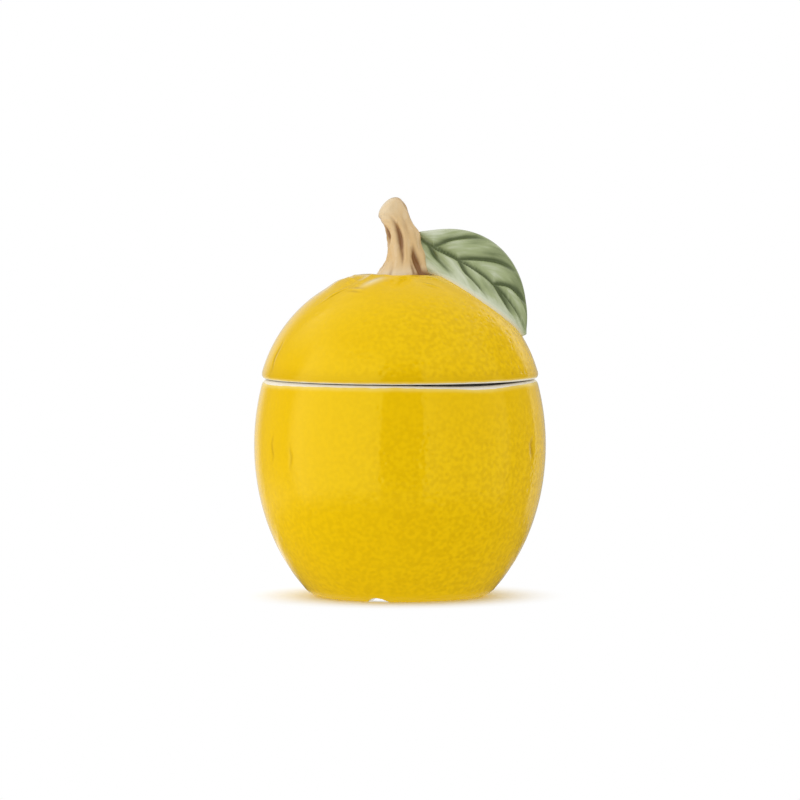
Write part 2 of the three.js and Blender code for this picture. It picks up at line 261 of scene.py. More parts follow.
def yellowGlaze(look, skin):
    material, g, shader = newMaterial("yellowGlaze")
    point = objectPoint(g)
    wave = noise(g, point, look["edgeWave"]) * 2 - 1
    glazeRun = attribute(g, "glazeRun") + wave * look["edgeWaveDepth"]
    bare = 1 - glazeRun.ramp(-look["edgeSoft"], look["edgeSoft"])
    # the clay in the seam between lid and jar is painted dark as the gap's shade, over its wear
    wornAndShaded = 1 - glazeRun.ramp(*look["wornShadeRun"])
    thin = 1 - glazeRun.ramp(0.0, look["thinReach"])
    relief = attribute(g, "peelDepth")
    shifted = g.plus(point, (skin["Seed"],) * 3)
    pore = pores(g, shifted, skin["Pore Spacing"], skin["Pore Width"], skin["Pore Warp"])
    mottle = noise(g, point, look["mottleSize"], detail=0.0, seed=2.5).ramp(*look["mottleRange"]) - 0.5
    cloud = noise(g, point, look["cloudSize"], detail=3.0, seed=4.0).ramp(*look["cloudRange"])
    grain = noise(g, point, look["fineGrain"], seed=1.5)
    pooled = look["thick"] + (pore * look["poolShare"] + mottle * look["mottleShare"]) * relief
    # on the lid the dent marks also carry painted shade, at its lower edge and along the fold feet
    pooled = pooled + attribute(g, "dent") * look["dentShare"]
    glaze = (cloud * look["cloudShare"]).mix(look["glaze"], look["warm"])
    glaze = pooled.mix(glaze, look["deep"])
    glaze = (thin * thin * look["thinShare"]).mix(glaze, look["thin"])
    glaze = attribute(g, "slip").mix(glaze, look["slip"])
    # inside the jar the lining is painted darker towards the floor: pooled glaze and painted shade in the
    # hollow
    height = g.node("ShaderNodeSeparateXYZ", {}, {"Vector": point}, "Z") / mm
    low = height.ramp(*look["liningFloor"]) * (1 - height.ramp(*look["liningPoolShadeRun"]))
    lining = low.mix(look["lining"], look["liningPooledShade"])
    inside = attribute(g, "glaze").mix(lining, glaze)
    feed(g, shader, {
        "Base Color": bare.mix(inside, wornAndShaded.mix(look["clay"], look["seat"])),
        "Roughness": look["roughness"] + grain * look["grainRoughness"] + bare * look["clayRoughness"],
        "Normal": bump(g, grain * look["fineDepth"] - pore * relief * look["poreDepth"], 1),
    })
    fix(shader, {"Specular IOR Level": look["specular"], "Specular Tint": look["tint"]})
    return material


barkLook = {
    "glaze": (0.68, 0.472, 0.228, 1),
    # also painted as a highlight on the head's left
    "pale": (0.75, 0.635, 0.45, 1),
    # also painted as shade up the stem's left and right flanks
    "pooled": (0.235, 0.105, 0.028, 1),
    "stretch": 0.2,  # of the pattern's height, so that it runs up the stem
    "streakSize": 4,
    "paleStreaks": (0.5, 0.75),
    "paleShare": 0.4,
    "darkStreaks": (0.2, 0.48),
    "darkShare": 0.3,
    "lineSize": 1.5,
    "darkLines": (0.24, 0.42),
    "lineShare": 0.25,
    "cloudSize": 6,
    "cloudShare": 0.2,
    "thinShare": 0.9,
    "stainRange": (0.12, 1.0),
    "roughness": 0.2,
    "streakRoughness": 0.12,
    "streakDepth": 0.2,
    "specular": 0.5,
}


def barkGlaze(look):
    material, g, shader = newMaterial("barkGlaze")
    point = objectPoint(g)
    stretch = g.node("ShaderNodeMapping", {}, {"Vector": point, "Scale": (1.0, 1.0, look["stretch"])})
    streak = noise(g, stretch, look["streakSize"], detail=3.0)
    cloud = noise(g, point, look["cloudSize"], detail=3.0, seed=3.0)
    line = noise(g, stretch, look["lineSize"], seed=7.0)
    colour = (streak.ramp(*look["paleStreaks"]) * look["paleShare"]).mix(look["glaze"], look["pale"])
    # thin glaze at the foot and the head, and a painted highlight on the head's left
    colour = (attribute(g, "thin") * look["thinShare"]).mix(colour, look["pale"])
    # the pool attribute holds glaze pooled in the grooves and at the toe, and painted shade on the flanks
    stain = attribute(g, "poolAndShade") + (1 - streak.ramp(*look["darkStreaks"])) * look["darkShare"]
    stain = stain + (cloud - 0.5) * look["cloudShare"]
    stain = stain + (1 - line.ramp(*look["darkLines"])) * look["lineShare"]
    colour = stain.ramp(*look["stainRange"]).mix(colour, look["pooled"])
    feed(g, shader, {
        "Base Color": colour,
        "Roughness": look["roughness"] + streak * look["streakRoughness"],
        "Normal": bump(g, streak, look["streakDepth"]),
    })
    fix(shader, {"Specular IOR Level": look["specular"]})
    return material


leafLook = {
    "glaze": (0.335, 0.39, 0.19, 1),
    "pale": (0.60, 0.64, 0.48, 1),  # where it runs thin, and as painted light on the lobes
    "rim": (0.76, 0.72, 0.52, 1),  # where it has run off
    # also painted as shade on the leaf blade
    "pooled": (0.08, 0.108, 0.032, 1),
    "rimRange": (0.0, 0.8),
    "cloudSize": 7,
    "cloudShare": 0.4,
    "strokes": 1.6,
    "strokeStretch": 2.2,  # from the midrib to the edge
    "poolStrokes": 0.6,
    "poolRange": (0.05, 0.95),
    "roughness": 0.12,
    "cloudRoughness": 0.1,
    "cloudDepth": 0.1,
    "specular": 0.5,
}


def leafGlaze(look):
    material, g, shader = newMaterial("leafGlaze")
    thin = attribute(g, "thin")
    cloud = noise(g, objectPoint(g), look["cloudSize"], detail=3.0)
    strokes = {"X": attribute(g, "streak"), "Y": attribute(g, "across") * look["strokeStretch"]}
    strokes = g.node("ShaderNodeCombineXYZ", {}, strokes)
    stroke = noise(g, strokes, 1 / mm, seed=5.0)  # in the streaks' own units
    stroke = (stroke - 0.5) * look["strokes"] + (cloud - 0.5) * look["cloudShare"]
    colour = (thin + stroke).ramp(0.0, 1.0).mix(look["glaze"], look["pale"])
    colour = (thin - 1).ramp(*look["rimRange"]).mix(colour, look["rim"])
    # glaze pooled in the veins, and painted shade on the blade
    poolAndShade = attribute(g, "poolAndShade") - stroke * look["poolStrokes"]
    colour = poolAndShade.ramp(*look["poolRange"]).mix(colour, look["pooled"])
    feed(g, shader, {
        "Base Color": colour,
        "Roughness": look["roughness"] + cloud * look["cloudRoughness"],
        "Normal": bump(g, cloud, look["cloudDepth"]),
    })
    fix(shader, {"Specular IOR Level": look["specular"]})
    return material


# Turned pieces: an outline of radius and height, swept round the axis by a node tree

def straight(start, end, count):
    share = np.linspace(0, 1, count + 1)[:, None]
    return (1 - share) * np.array(start, float) + share * np.array(end, float)


def rounded(start, corner, end, count):
    share = np.linspace(0, 1, count + 1)[:, None]
    first, middle, last = (np.array(p, float) for p in (start, corner, end))
    return (1 - share) ** 2 * first + 2 * share * (1 - share) * middle + share ** 2 * last


def shell(radius, halfHeight, centre):  # an ellipse that a wall follows
    return {"radius": radius, "halfHeight": halfHeight, "centre": centre}


def inset(s, depth):
    return shell(s["radius"] - depth, s["halfHeight"] - depth, s["centre"])


def radiusAt(s, z):
    return s["radius"] * math.sqrt(1 - ((z - s["centre"]) / s["halfHeight"]) ** 2)


def heightAt(s, r):
    return s["centre"] + s["halfHeight"] * math.sqrt(1 - (r / s["radius"]) ** 2)


def onShell(s, z):
    return radiusAt(s, z), z


def arcOf(s, fromZ, toZ, count):
    first, last = (math.asin((z - s["centre"]) / s["halfHeight"]) for z in (fromZ, toZ))
    turn = np.linspace(first, last, count + 1)
    return np.stack([s["radius"] * np.cos(turn), s["centre"] + s["halfHeight"] * np.sin(turn)], 1)


def outlinePiece(name, runs, sweepRadius):
    # each run is its points, 1 where it is yellow, how far the glaze has run there, and its peel
    points = np.concatenate([run[0][1 if i else 0:] for i, run in enumerate(runs)])
    counts = [len(run[0]) - (1 if i else 0) for i, run in enumerate(runs)]
    glazeRun = [run[2](points[:, 1]) if callable(run[2]) else run[2] + 0 * points[:, 1] for run in runs]
    owner = np.repeat(np.arange(len(runs)), counts)
    mesh = bpy.data.meshes.new(name)
    chain = [((r - sweepRadius) * mm, -z * mm, 0) for r, z in points]
    mesh.from_pydata(chain, [(i, i + 1) for i in range(len(chain) - 1)], [])
    setAttribute(mesh, "glaze", np.repeat([run[1] for run in runs], counts))
    setAttribute(mesh, "glazeRun", np.choose(owner, glazeRun))
    setAttribute(mesh, "peel", np.repeat([run[3] for run in runs], counts))
    return addPiece(name, mesh)


glazed, wipedClay, wornShadedClay = 50, -2, -5  # how far the glaze has run: no edge near, wiped off, worn off and painted dark as the seam's shade


weldReach = 0.01  # joins the ends of the sweep, and closes it on the axis


def sweepRound(g, outline, steps, radius):
    circle = g.node("GeometryNodeCurvePrimitiveCircle", {}, {"Resolution": steps, "Radius": radius})
    upright = g.node("GeometryNodeSetCurveNormal", {"mode": "Z_UP"}, {"Curve": circle})
    profile = g.node("GeometryNodeMeshToCurve", {}, {"Mesh": outline})
    swept = g.node("GeometryNodeCurveToMesh", {}, {"Curve": upright, "Profile Curve": profile})
    closed = g.node("GeometryNodeMergeByDistance", {}, {"Geometry": swept, "Distance": weldReach * mm})
    return g.node("GeometryNodeFlipFaces", {}, {"Mesh": closed})


def named(g, name):
    return g.node("GeometryNodeInputNamedAttribute", {"data_type": "FLOAT"}, {"Name": name}, "Attribute")


def store(g, mesh, name, value):
    stored = {"Geometry": mesh, "Name": name, "Value": value}
    return g.node("GeometryNodeStoreNamedAttribute", {"data_type": "FLOAT"}, stored)


def pushOut(g, mesh, distance):
    normal = g.node("GeometryNodeInputNormal")
    return g.node("GeometryNodeSetPosition", {}, {"Geometry": mesh, "Offset": g.scale(normal, distance)})


def position(g, axes="XYZ"):
    point = g.node("GeometryNodeInputPosition")
    return g.node("ShaderNodeSeparateXYZ", {}, {"Vector": point}, tuple(axes))


def angleRound(g, x, y):  # round the axis, from +X
    return g.math("ARCTAN2", y, x)


def fromAxis(x, y):
    return (x * x + y * y) ** 0.5


def lobe(g, angle, centre, width):  # 1 at one angle round the axis, falling off on both sides
    return g.math("EXPONENT", (g.math("COSINE", angle - centre) - 1) / (width * width))


sideSoft = 0.3  # cosine of the angle at which a mark begins to fade


def nearSide(g, angle, centre):  # 1 round one angle, and 0 on the other side of the axis
    return g.math("COSINE", angle - centre).ramp(0.0, sideSoft)


def bell(g, aside, along):  # 1 in the middle of a mark, falling off all round it
    return g.math("EXPONENT", -(aside * aside + along * along))


crookScale = 0.7  # waves in the crooks for each pore


def pores(g, point, spacing, width, warp):  # the same crooked holes in a node tree and in a material
    crooks = {"Vector": point, "Scale": crookScale / spacing, "Detail": 1.0}
    crooked = g.node("ShaderNodeTexNoise", {}, crooks, "Color")
    crooked = g.plus(point, g.scale(g.plus(crooked, (-0.5, -0.5, -0.5)), spacing * warp))
    cells = {"Vector": crooked, "Scale": 1 / spacing}
    nearest = g.node("ShaderNodeTexVoronoi", {"voronoi_dimensions": "3D"}, cells, "Distance")
    return 1 - (nearest * spacing).ramp(0.0, width)


roughSide = (-0.5, 0.85)  # cosines of the angles from the rough side at which the peel starts and is full


def peel(g, mesh, ports):  # citrus skin: sunk pores and soft swellings, rougher low down and on one side
    point = g.node("GeometryNodeInputPosition")
    x, y, z = position(g)
    side = g.math("COSINE", angleRound(g, x, y) - ports["Rough Angle"]).ramp(*roughSide)
    low = 1 - z.ramp(ports["Rough Height"] - ports["Rough Reach"], ports["Rough Height"])
    calm = 1 - z.ramp(ports["Calm Height"] - ports["Calm Reach"], ports["Calm Height"])
    rough = g.math("MAXIMUM", side * ports["Side Share"], low * ports["Low Share"]) * calm
    depth = (ports["Quiet"] + rough * (1 - ports["Quiet"])) * named(g, "peel")
    shifted = g.plus(point, ports["Seed"])
    pore = pores(g, shifted, ports["Pore Spacing"], ports["Pore Width"], ports["Pore Warp"])
    swells = {"Vector": point, "W": ports["Seed"], "Scale": 1 / ports["Swell Size"], "Detail": 1.0}
    swell = g.node("ShaderNodeTexNoise", {"noise_dimensions": "4D"}, swells, "Fac")
    sink = (pore * ports["Pore Depth"] + swell * ports["Swell Depth"]) * depth
    return pushOut(g, store(g, mesh, "peelDepth", depth), -sink)


dentWave, dentSway = 1.4, 0.008  # length of the waves in a dent in millimetres, and their turn in radians


def dentIn(g, mesh, dents):  # upright dents with a gentle wave, marked for the glaze
    x, y, z = position(g)
    angle, radius = angleRound(g, x, y), fromAxis(x, y)
    wave = g.math("SINE", z / (dentWave * mm)) * dentSway
    mark, sink = 0, 0
    for centre, height, width, length, depth, stain in dents:
        aside = radius * g.math("SINE", angle - centre + wave) / (width * mm)
        along = (z - height * mm) / (length * mm)
        dent = bell(g, aside, along) * nearSide(g, angle, centre)
        mark = mark + dent * stain
        sink = sink + dent * (depth * mm)
    return pushOut(g, store(g, mesh, "dent", mark), -sink)


def bareWider(g, mesh, patches):  # moves the line where the glaze stops
    angle = angleRound(g, *position(g, "XY"))
    run = named(g, "glazeRun")
    for centre, width, more in patches:
        run = run - lobe(g, angle, centre, width) * more
    return store(g, mesh, "glazeRun", run)


peelValues = {
    "Turn Steps": 500,
    "Pore Spacing": 3.0 * mm,
    "Pore Width": 1.45 * mm,
    "Pore Warp": 1.1,  # share of the spacing
    "Pore Depth": 0.14 * mm,
    "Swell Size": 6 * mm,
    "Swell Depth": 0.2 * mm,
    "Quiet": 0.15,  # the peel's depth on the calm side, as a share
    "Rough Angle": math.radians(-20),
    "Rough Height": 70 * mm,
    "Rough Reach": 45 * mm,
    "Side Share": 0.8,
    "Low Share": 0.5,
    "Calm Height": 100 * mm,
    "Calm Reach": 45 * mm,
    "Seed": 3.0,
}


def makeTurned(name, d, runs, values, reshape, material):  # sweeps the runs round, with peel and dents
    radius = bodyOuter["radius"]
    values = {**peelValues, **d["inputs"], **values, "Sweep Radius": radius * mm, "Material": material}
    g, ports = newTree(name, values)
    mesh = sweepRound(g, ports["Outline"], ports["Turn Steps"], ports["Sweep Radius"])
    mesh = dentIn(g, peel(g, mesh, ports), d["dents"])
    mesh = bareWider(g, reshape(g, mesh, ports), d["barePatches"])
    piece = outlinePiece(name, runs, radius)
    runTree(piece, endTree(g, mesh, ports["Material"]), values)
    return piece


# Jar body

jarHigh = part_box("jar_body")[1] / mm
jar = {
    "halfHeight": 77.5,  # of the ellipse that the outside follows
    "widestHeight": 62,
    "wall": 5,
    "floorThickness": 6,
    "floorCorner": 8,
    "footRecess": 2.5,
    "footRingWidth": 7.5,
    "footEdge": 3.2,
    "rimEdge": 2.4,
    "mouthEdge": 1.2,
    "notchWidth": 9,
    "notchHeight": 1.9,
    "inputs": {  # of its node tree
        "Notch Count": 3.0,
        "Notch Angle": math.radians(-105),
        "Warp Reach": 12 * mm,
        "Dip Angle": math.radians(-56),  # where the fired rim has sagged a little
        "Dip Width": 0.3,
        "Dip Depth": 0.75 * mm,
        "Close Angle": 0.0,  # and where it has risen
        "Close Width": 0.45,
        "Close Depth": -0.2 * mm,
        "Left Angle": math.radians(-150),
        "Left Width": 0.4,
        "Left Depth": -0.2 * mm,
    },
    # wider bare patches: angle, width, how much wider
    "barePatches": ((math.radians(-155), 0.28, 0.75), (math.radians(-53), 0.16, 0.5)),
    # shallow dents that the glaze has run into: angle, height, half width, half length, depth, stain
    "dents": (
        (math.radians(-149.8), 62, 0.7, 5, 0.12, 1.0),
        (math.radians(-137.6), 59.5, 0.7, 4.2, 0.1, 0.9),
        (math.radians(-26.5), 61.5, 1.5, 4.2, 0.3, 1.3),
    ),
    "bareBand": 0.85,  # of clay below the rim
    "rings": 146,
}
bodyOuter = shell(jarHigh.x, jar["halfHeight"], jar["widestHeight"])
bodyInner = inset(bodyOuter, jar["wall"])
rimHeight = jarHigh.z
mouthRadius = radiusAt(bodyInner, rimHeight)


def jarRuns(j):
    footRadius = radiusAt(bodyOuter, 0) - j["footEdge"]
    footInner = footRadius - j["footRingWidth"]
    recessEdge = (footInner - j["footRecess"], j["footRecess"])
    floorHeight = j["footRecess"] + j["floorThickness"]
    wallStart = onShell(bodyOuter, j["footEdge"])
    wallEnd = onShell(bodyOuter, rimHeight - j["rimEdge"])
    rimOuter = (radiusAt(bodyOuter, rimHeight) - j["rimEdge"], rimHeight)
    rimInner = (mouthRadius + j["mouthEdge"], rimHeight)
    mouth = onShell(bodyInner, rimHeight - j["mouthEdge"])
    cornerStart = onShell(bodyInner, floorHeight + j["floorCorner"])
    cornerEnd = (radiusAt(bodyInner, floorHeight) - j["floorCorner"], floorHeight)

    def belowRim(z):
        return rimHeight - z - j["bareBand"]

    return [
        (straight((0, j["footRecess"]), recessEdge, 3), 0, glazed, 0),
        (straight(recessEdge, (footInner, 0), 2), 0, glazed, 0),
        (straight((footInner, 0), (footRadius, 0), 4), 0, wipedClay, 0),
        (rounded((footRadius, 0), onShell(bodyOuter, 0), wallStart, 7), 1, glazed, 0.2),
        (arcOf(bodyOuter, wallStart[1], wallEnd[1], j["rings"]), 1, belowRim, 1),
        (rounded(wallEnd, onShell(bodyOuter, rimHeight), rimOuter, 8), 1, belowRim, 0.2),
        (straight(rimOuter, rimInner, 2), 0, wornShadedClay, 0),
        (rounded(rimInner, (mouthRadius, rimHeight), mouth, 4), 0, wipedClay, 0),
        (arcOf(bodyInner, mouth[1], cornerStart[1], 14), 0, glazed, 0),
        (rounded(cornerStart, onShell(bodyInner, floorHeight), cornerEnd, 4), 0, glazed, 0),
        (straight(cornerEnd, (0, floorHeight), 3), 0, glazed, 0),
    ]


def shapeJar(g, mesh, ports):  # warps the rim, and lifts the foot over the notches
    x, y, z = position(g)
    angle, radius = angleRound(g, x, y), fromAxis(x, y)
    warp = 0
    for place in ("Dip", "Close", "Left"):
        sag = lobe(g, angle, ports[place + " Angle"], ports[place + " Width"])
        warp = warp + sag * ports[place + " Depth"]
    nearRim = z.ramp(ports["Rim Height"] - ports["Warp Reach"], ports["Rim Height"])
    turn = (angle - ports["Notch Angle"]) * ports["Notch Count"]
    folded = g.math("ARCTAN2", g.math("SINE", turn), g.math("COSINE", turn)) / ports["Notch Count"]
    aside = radius * g.math("SINE", folded)
    under = g.math("MAXIMUM", ports["Notch Radius"] * ports["Notch Radius"] - aside * aside, 0.0)
    arch = under ** 0.5 + ports["Notch Height"] - ports["Notch Radius"]
    height = g.math("MAXIMUM", z - warp * nearRim, arch)
    place = g.node("ShaderNodeCombineXYZ", {}, {"X": x, "Y": y, "Z": height})
    return g.node("GeometryNodeSetPosition", {}, {"Geometry": mesh, "Position": place})


def makeJar(j, material):
    width, height = j["notchWidth"], j["notchHeight"]
    notchRadius = (width ** 2 / 4 + height ** 2) / (2 * height)
    values = {"Rim Height": rimHeight, "Notch Height": height, "Notch Radius": notchRadius}
    values = {label: value * mm for label, value in values.items()}
    return makeTurned("glazedJar", j, jarRuns(j), values, shapeJar, material)


yellow = yellowGlaze(yellowLook, peelValues)
jarPiece = makeJar(jar, yellow)
print("jar body:", len(jarPiece.data.polygons), "faces")


# Lid dome

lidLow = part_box("lid_dome")[0] / mm
lid = {
    "overhang": 1.2,
    "rise": 45.7,
    "wall": 5,
    "lipEdge": 3,
    "seatGap": 0.3,
    "flangeClearance": 1.5,
    "flangeThickness": 5,
    "wearShadeReach": 2,  # down the flange from the seat, painted dark as the seam's shade
    "webRise": 13,
    "ceilingBlend": 6,
    "crownWidth": 7.4,
    "crownLift": 1.3,
    "navelDepth": 0.9,
    "navelRadius": 13.2,
    "rings": 120,
    "bareBand": 0.45,
    "glazeSteep": 2.0,  # how much sooner the glaze thickens than on the jar
    "barePatches": ((math.radians(-25), 0.45, 0.9),),
    "lipStart": 1.5,  # of the thicker glaze above the seat, with painted shade at the lid's lower edge
    # raised folds round the stem, in degrees and millimetres: angle, distance from the axis, half width,
    # half length, height, slant out of the way round, and the stain of the lines along their feet: pooled
    # glaze and painted shade
    "folds": (
        (-175, 25.5, 3.6, 9, 0.8, 0, 0),
        (-143, 33.3, 0.62, 4.4, 0.45, 125, 1.3),
        (-126, 30.5, 0.75, 3.2, 0.4, 5, 1.0),
        (-116, 25, 1.4, 5, 0.4, -50, 0.2),
        (-168, 19, 0.9, 4, 0.3, 10, 0.3),
        (-150, 23, 0.8, 6, 0.32, 10, 0.3),
        (-134, 18, 0.8, 4, 0.34, 10, 0.3),
        (-70, 20, 0.9, 4, 0.22, 10, 0.2),
        (-62, 27, 0.7, 3, 0.3, 35, 0.4),
    ),
    "foldFeet": (1.5, 3),  # how far out those lines are in half widths, and how sharp
    # slip smeared beside the stem: angle, distance, half width, half length, slant, and its share
    "smears": (
        (-116, 24.6, 1.9, 5, -50, 0.75),
        (-140, 18, 1.6, 4, -20, 0.5),
    ),
    "dents": ((math.radians(-159), 99.5, 0.6, 4.8, 0.2, 1.8),),
    "creaseRange": (0.3, 0.7),
    "creaseLevel": 0.7,  # of the skin between the creases
    "creaseSpread": 6,  # how fast they change outwards
    "collarReach": (0.7, 1.6),  # from and to, in navel radii
    "inputs": {  # of its node tree
        "Rough Height": 1 * mm,
        "Calm Height": 128 * mm,
        "Calm Reach": 14 * mm,
        "Pore Depth": 0.25 * mm,
        "Lip Reach": 6 * mm,
        "Lip Pool Shade": 0.42,
        "Crease Depth": 1 * mm,
        "Crease Size": 0.42,
        "Crease Start": 10 * mm,
        "Crease Peak": 20 * mm,
        "Crease End": 40 * mm,
        "Crease Angle": math.radians(-128),  # where the skin is puckered most
        "Crease Width": 0.75,
        "Crease Calm": 0.2,
        "Collar Angle": math.radians(-93),  # where the skin stands up against the stem
        "Collar Width": 0.7,
        "Collar Lift": 1 * mm,
    },
}
seatHeight = rimHeight + lid["seatGap"]
domeBase = radiusAt(bodyOuter, rimHeight) + lid["overhang"]
domeCurve = (domeBase ** 2 + lid["rise"] ** 2) / (2 * lid["rise"])
domeOuter = shell(domeCurve, domeCurve, seatHeight + lid["rise"] - domeCurve)
domeInner = inset(domeOuter, lid["wall"])
navelRadius = lid["navelRadius"]
crownRadius = navelRadius + lid["crownWidth"]
navelHeight = heightAt(domeOuter, crownRadius) + lid["crownLift"] / 2 - lid["navelDepth"]


def lidRuns(d):
    flangeRadius = mouthRadius - d["flangeClearance"]
    flangeInner = flangeRadius - d["flangeThickness"]
    flangeEnd = lidLow.z
    ceilingHeight = navelHeight - d["wall"]
    ceilingEdge = radiusAt(domeInner, ceilingHeight)
    ceilingStart = (ceilingEdge - d["ceilingBlend"], ceilingHeight)
    domeStartRadius = ceilingEdge + d["ceilingBlend"]
    domeStart = (domeStartRadius, heightAt(domeInner, domeStartRadius))
    domeEnd = onShell(domeInner, seatHeight + d["webRise"])
    flangeTop = (flangeInner, seatHeight)
    seatInner = (flangeRadius, seatHeight)
    seatOuter = (domeBase - d["lipEdge"], seatHeight)
    lip = onShell(domeOuter, seatHeight + d["lipEdge"])
    crown = (crownRadius, heightAt(domeOuter, crownRadius))
    swelling = ((crownRadius + navelRadius) / 2, crown[1] + d["crownLift"])
    navelEdge = (navelRadius, navelHeight)

    def aboveSeat(z):
        run = z - seatHeight - d["bareBand"]
        return np.where(run > 0, run * d["glazeSteep"], run)

    # the top of the flange, inside the seam, is painted dark as shade
    def flangeWearShade(z):
        return np.where(z > seatHeight - d["wearShadeReach"], wornShadedClay, wipedClay)

    return [
        (straight((0, ceilingHeight), ceilingStart, 3), 0, glazed, 0),
        (rounded(ceilingStart, (ceilingEdge, ceilingHeight), domeStart, 4), 0, glazed, 0),
        (arcOf(domeInner, domeStart[1], domeEnd[1], 12), 0, glazed, 0),
        (rounded(domeEnd, (flangeInner, seatHeight + d["webRise"] / 2), flangeTop, 5), 0, glazed, 0),
        (straight(flangeTop, (flangeInner, flangeEnd), 2), 0, glazed, 0),
        (straight((flangeInner, flangeEnd), (flangeRadius, flangeEnd), 2), 0, wipedClay, 0),
        (straight((flangeRadius, flangeEnd), seatInner, 3), 0, flangeWearShade, 0),
        (straight(seatInner, seatOuter, 2), 0, wornShadedClay, 0),
        (rounded(seatOuter, onShell(domeOuter, seatHeight), lip, 10), 1, aboveSeat, 0.3),
        (arcOf(domeOuter, lip[1], crown[1], d["rings"]), 1, aboveSeat, 1),
        (rounded(crown, swelling, navelEdge, 14), 1, glazed, 0.6),
        (straight(navelEdge, (0, navelHeight), 6), 1, glazed, 0),
    ]


def onDome(g, centre, reach, width, length, slant):  # places in a long mark, and the side it is on
    x, y = position(g, "XY")
    angle = angleRound(g, x, y)
    radius = fromAxis(x, y)
    centre, slant = math.radians(centre), math.radians(slant)
    aside = radius * g.math("SINE", angle - centre)
    out = radius - reach * mm
    along = (aside * math.cos(slant) + out * math.sin(slant)) / (length * mm)
    across = (out * math.cos(slant) - aside * math.sin(slant)) / (width * mm)
    return along, across, nearSide(g, angle, centre)


def foldUp(g, d):  # how high the folds stand, and how much glaze and painted shade lie along their feet
    lift, mark = 0, 0
    feet, sharp = d["foldFeet"]
    for centre, reach, width, length, height, slant, stain in d["folds"]:
        along, across, side = onDome(g, centre, reach, width, length, slant)
        lift = lift + bell(g, across, along) * side * (height * mm)
        if stain:
            away = g.math("ABSOLUTE", across) - feet
            mark = mark + g.math("EXPONENT", -(away * away * sharp + along * along)) * side * stain
    return lift, mark


def smearOn(g, smears):
    slip = 0
    for centre, reach, width, length, slant, share in smears:
        along, across, side = onDome(g, centre, reach, width, length, slant)
        slip = slip + bell(g, across, along) * side * share
    return slip


def shapeLid(g, mesh, ports):  # puckers the skin round the stem, and marks where the glaze lies thick and where shade is painted, at the lip and along the fold feet
    x, y, z = position(g)
    angle, radius = angleRound(g, x, y), fromAxis(x, y)
    spoke = {"X": x / radius, "Y": y / radius, "Z": radius * lid["creaseSpread"]}
    spoke = g.node("ShaderNodeCombineXYZ", {}, spoke)
    creases = {"Vector": spoke, "W": ports["Seed"], "Scale": 1 / ports["Crease Size"], "Detail": 0.0}
    crease = g.node("ShaderNodeTexNoise", {"noise_dimensions": "4D"}, creases, "Fac")
    near = radius.ramp(ports["Crease Start"], ports["Crease Peak"])
    far = 1 - radius.ramp(ports["Crease Peak"], ports["Crease End"])
    pucker = lobe(g, angle, ports["Crease Angle"], ports["Crease Width"])
    pucker = ports["Crease Calm"] + pucker * (1 - ports["Crease Calm"])
    lift = crease.ramp(*lid["creaseRange"]) - lid["creaseLevel"]
    lift = lift * near * far * pucker * ports["Crease Depth"]
    collarStart, collarEnd = lid["collarReach"]
    inner = radius.ramp(ports["Collar Radius"] * collarStart, ports["Collar Radius"])
    outer = 1 - radius.ramp(ports["Collar Radius"], ports["Collar Radius"] * collarEnd)
    collar = lobe(g, angle, ports["Collar Angle"], ports["Collar Width"]) * inner * outer
    fold, mark = foldUp(g, lid)
    lift = (lift + collar * ports["Collar Lift"] + fold) * named(g, "glaze")
    # the lid's lower edge is darkened: thicker glaze there, and painted shade where it turns under
    lip = 1 - z.ramp(ports["Lip Height"], ports["Lip Height"] + ports["Lip Reach"])
    mesh = store(g, mesh, "dent", named(g, "dent") + mark + lip * ports["Lip Pool Shade"])
    mesh = store(g, mesh, "slip", smearOn(g, lid["smears"]))
    return pushOut(g, mesh, lift)


def makeLid(d, material):
    values = {"Collar Radius": navelRadius * mm, "Lip Height": (seatHeight + d["lipStart"]) * mm}
    return makeTurned("glazedLid", d, lidRuns(d), values, shapeLid, material)


lidPiece = makeLid(lid, yellow)
print("lid dome:", len(lidPiece.data.polygons), "faces")


# Formed pieces: skins over rings of points

def skin(name, rings, material):
    # rings is an array of rings of points, in millimetres; each end closes on its middle
    count, sides = rings.shape[:2]
    points = rings.reshape(-1, 3)
    ends = np.array([rings[0].mean(0), rings[-1].mean(0)])
    faces = []
    for j in range(sides):
        nextJ = (j + 1) % sides
        for i in range(count - 1):
            a, b = i * sides, (i + 1) * sides
            faces.append((a + j, a + nextJ, b + nextJ, b + j))
        faces.append((count * sides, nextJ, j))
        last = (count - 1) * sides
        faces.append((count * sides + 1, last + j, last + nextJ))
    mesh = bpy.data.meshes.new(name)
    mesh.from_pydata((np.concatenate([points, ends]) * mm).tolist(), [], faces)
    mesh.polygons.foreach_set("use_smooth", np.ones(len(faces), dtype=bool))
    mesh.materials.append(material)
    return addPiece(name, mesh)


def unit(vectors):
    return vectors / np.linalg.norm(vectors, axis=-1, keepdims=True)


def smooth(values, low, high):
    share = np.clip((values - low) / (high - low), 0, 1)
    return share * share * (3 - 2 * share)


def hump(*away):  # 1 in the middle, falling off on both sides
    return np.exp(-sum(part ** 2 for part in away))


# Stem

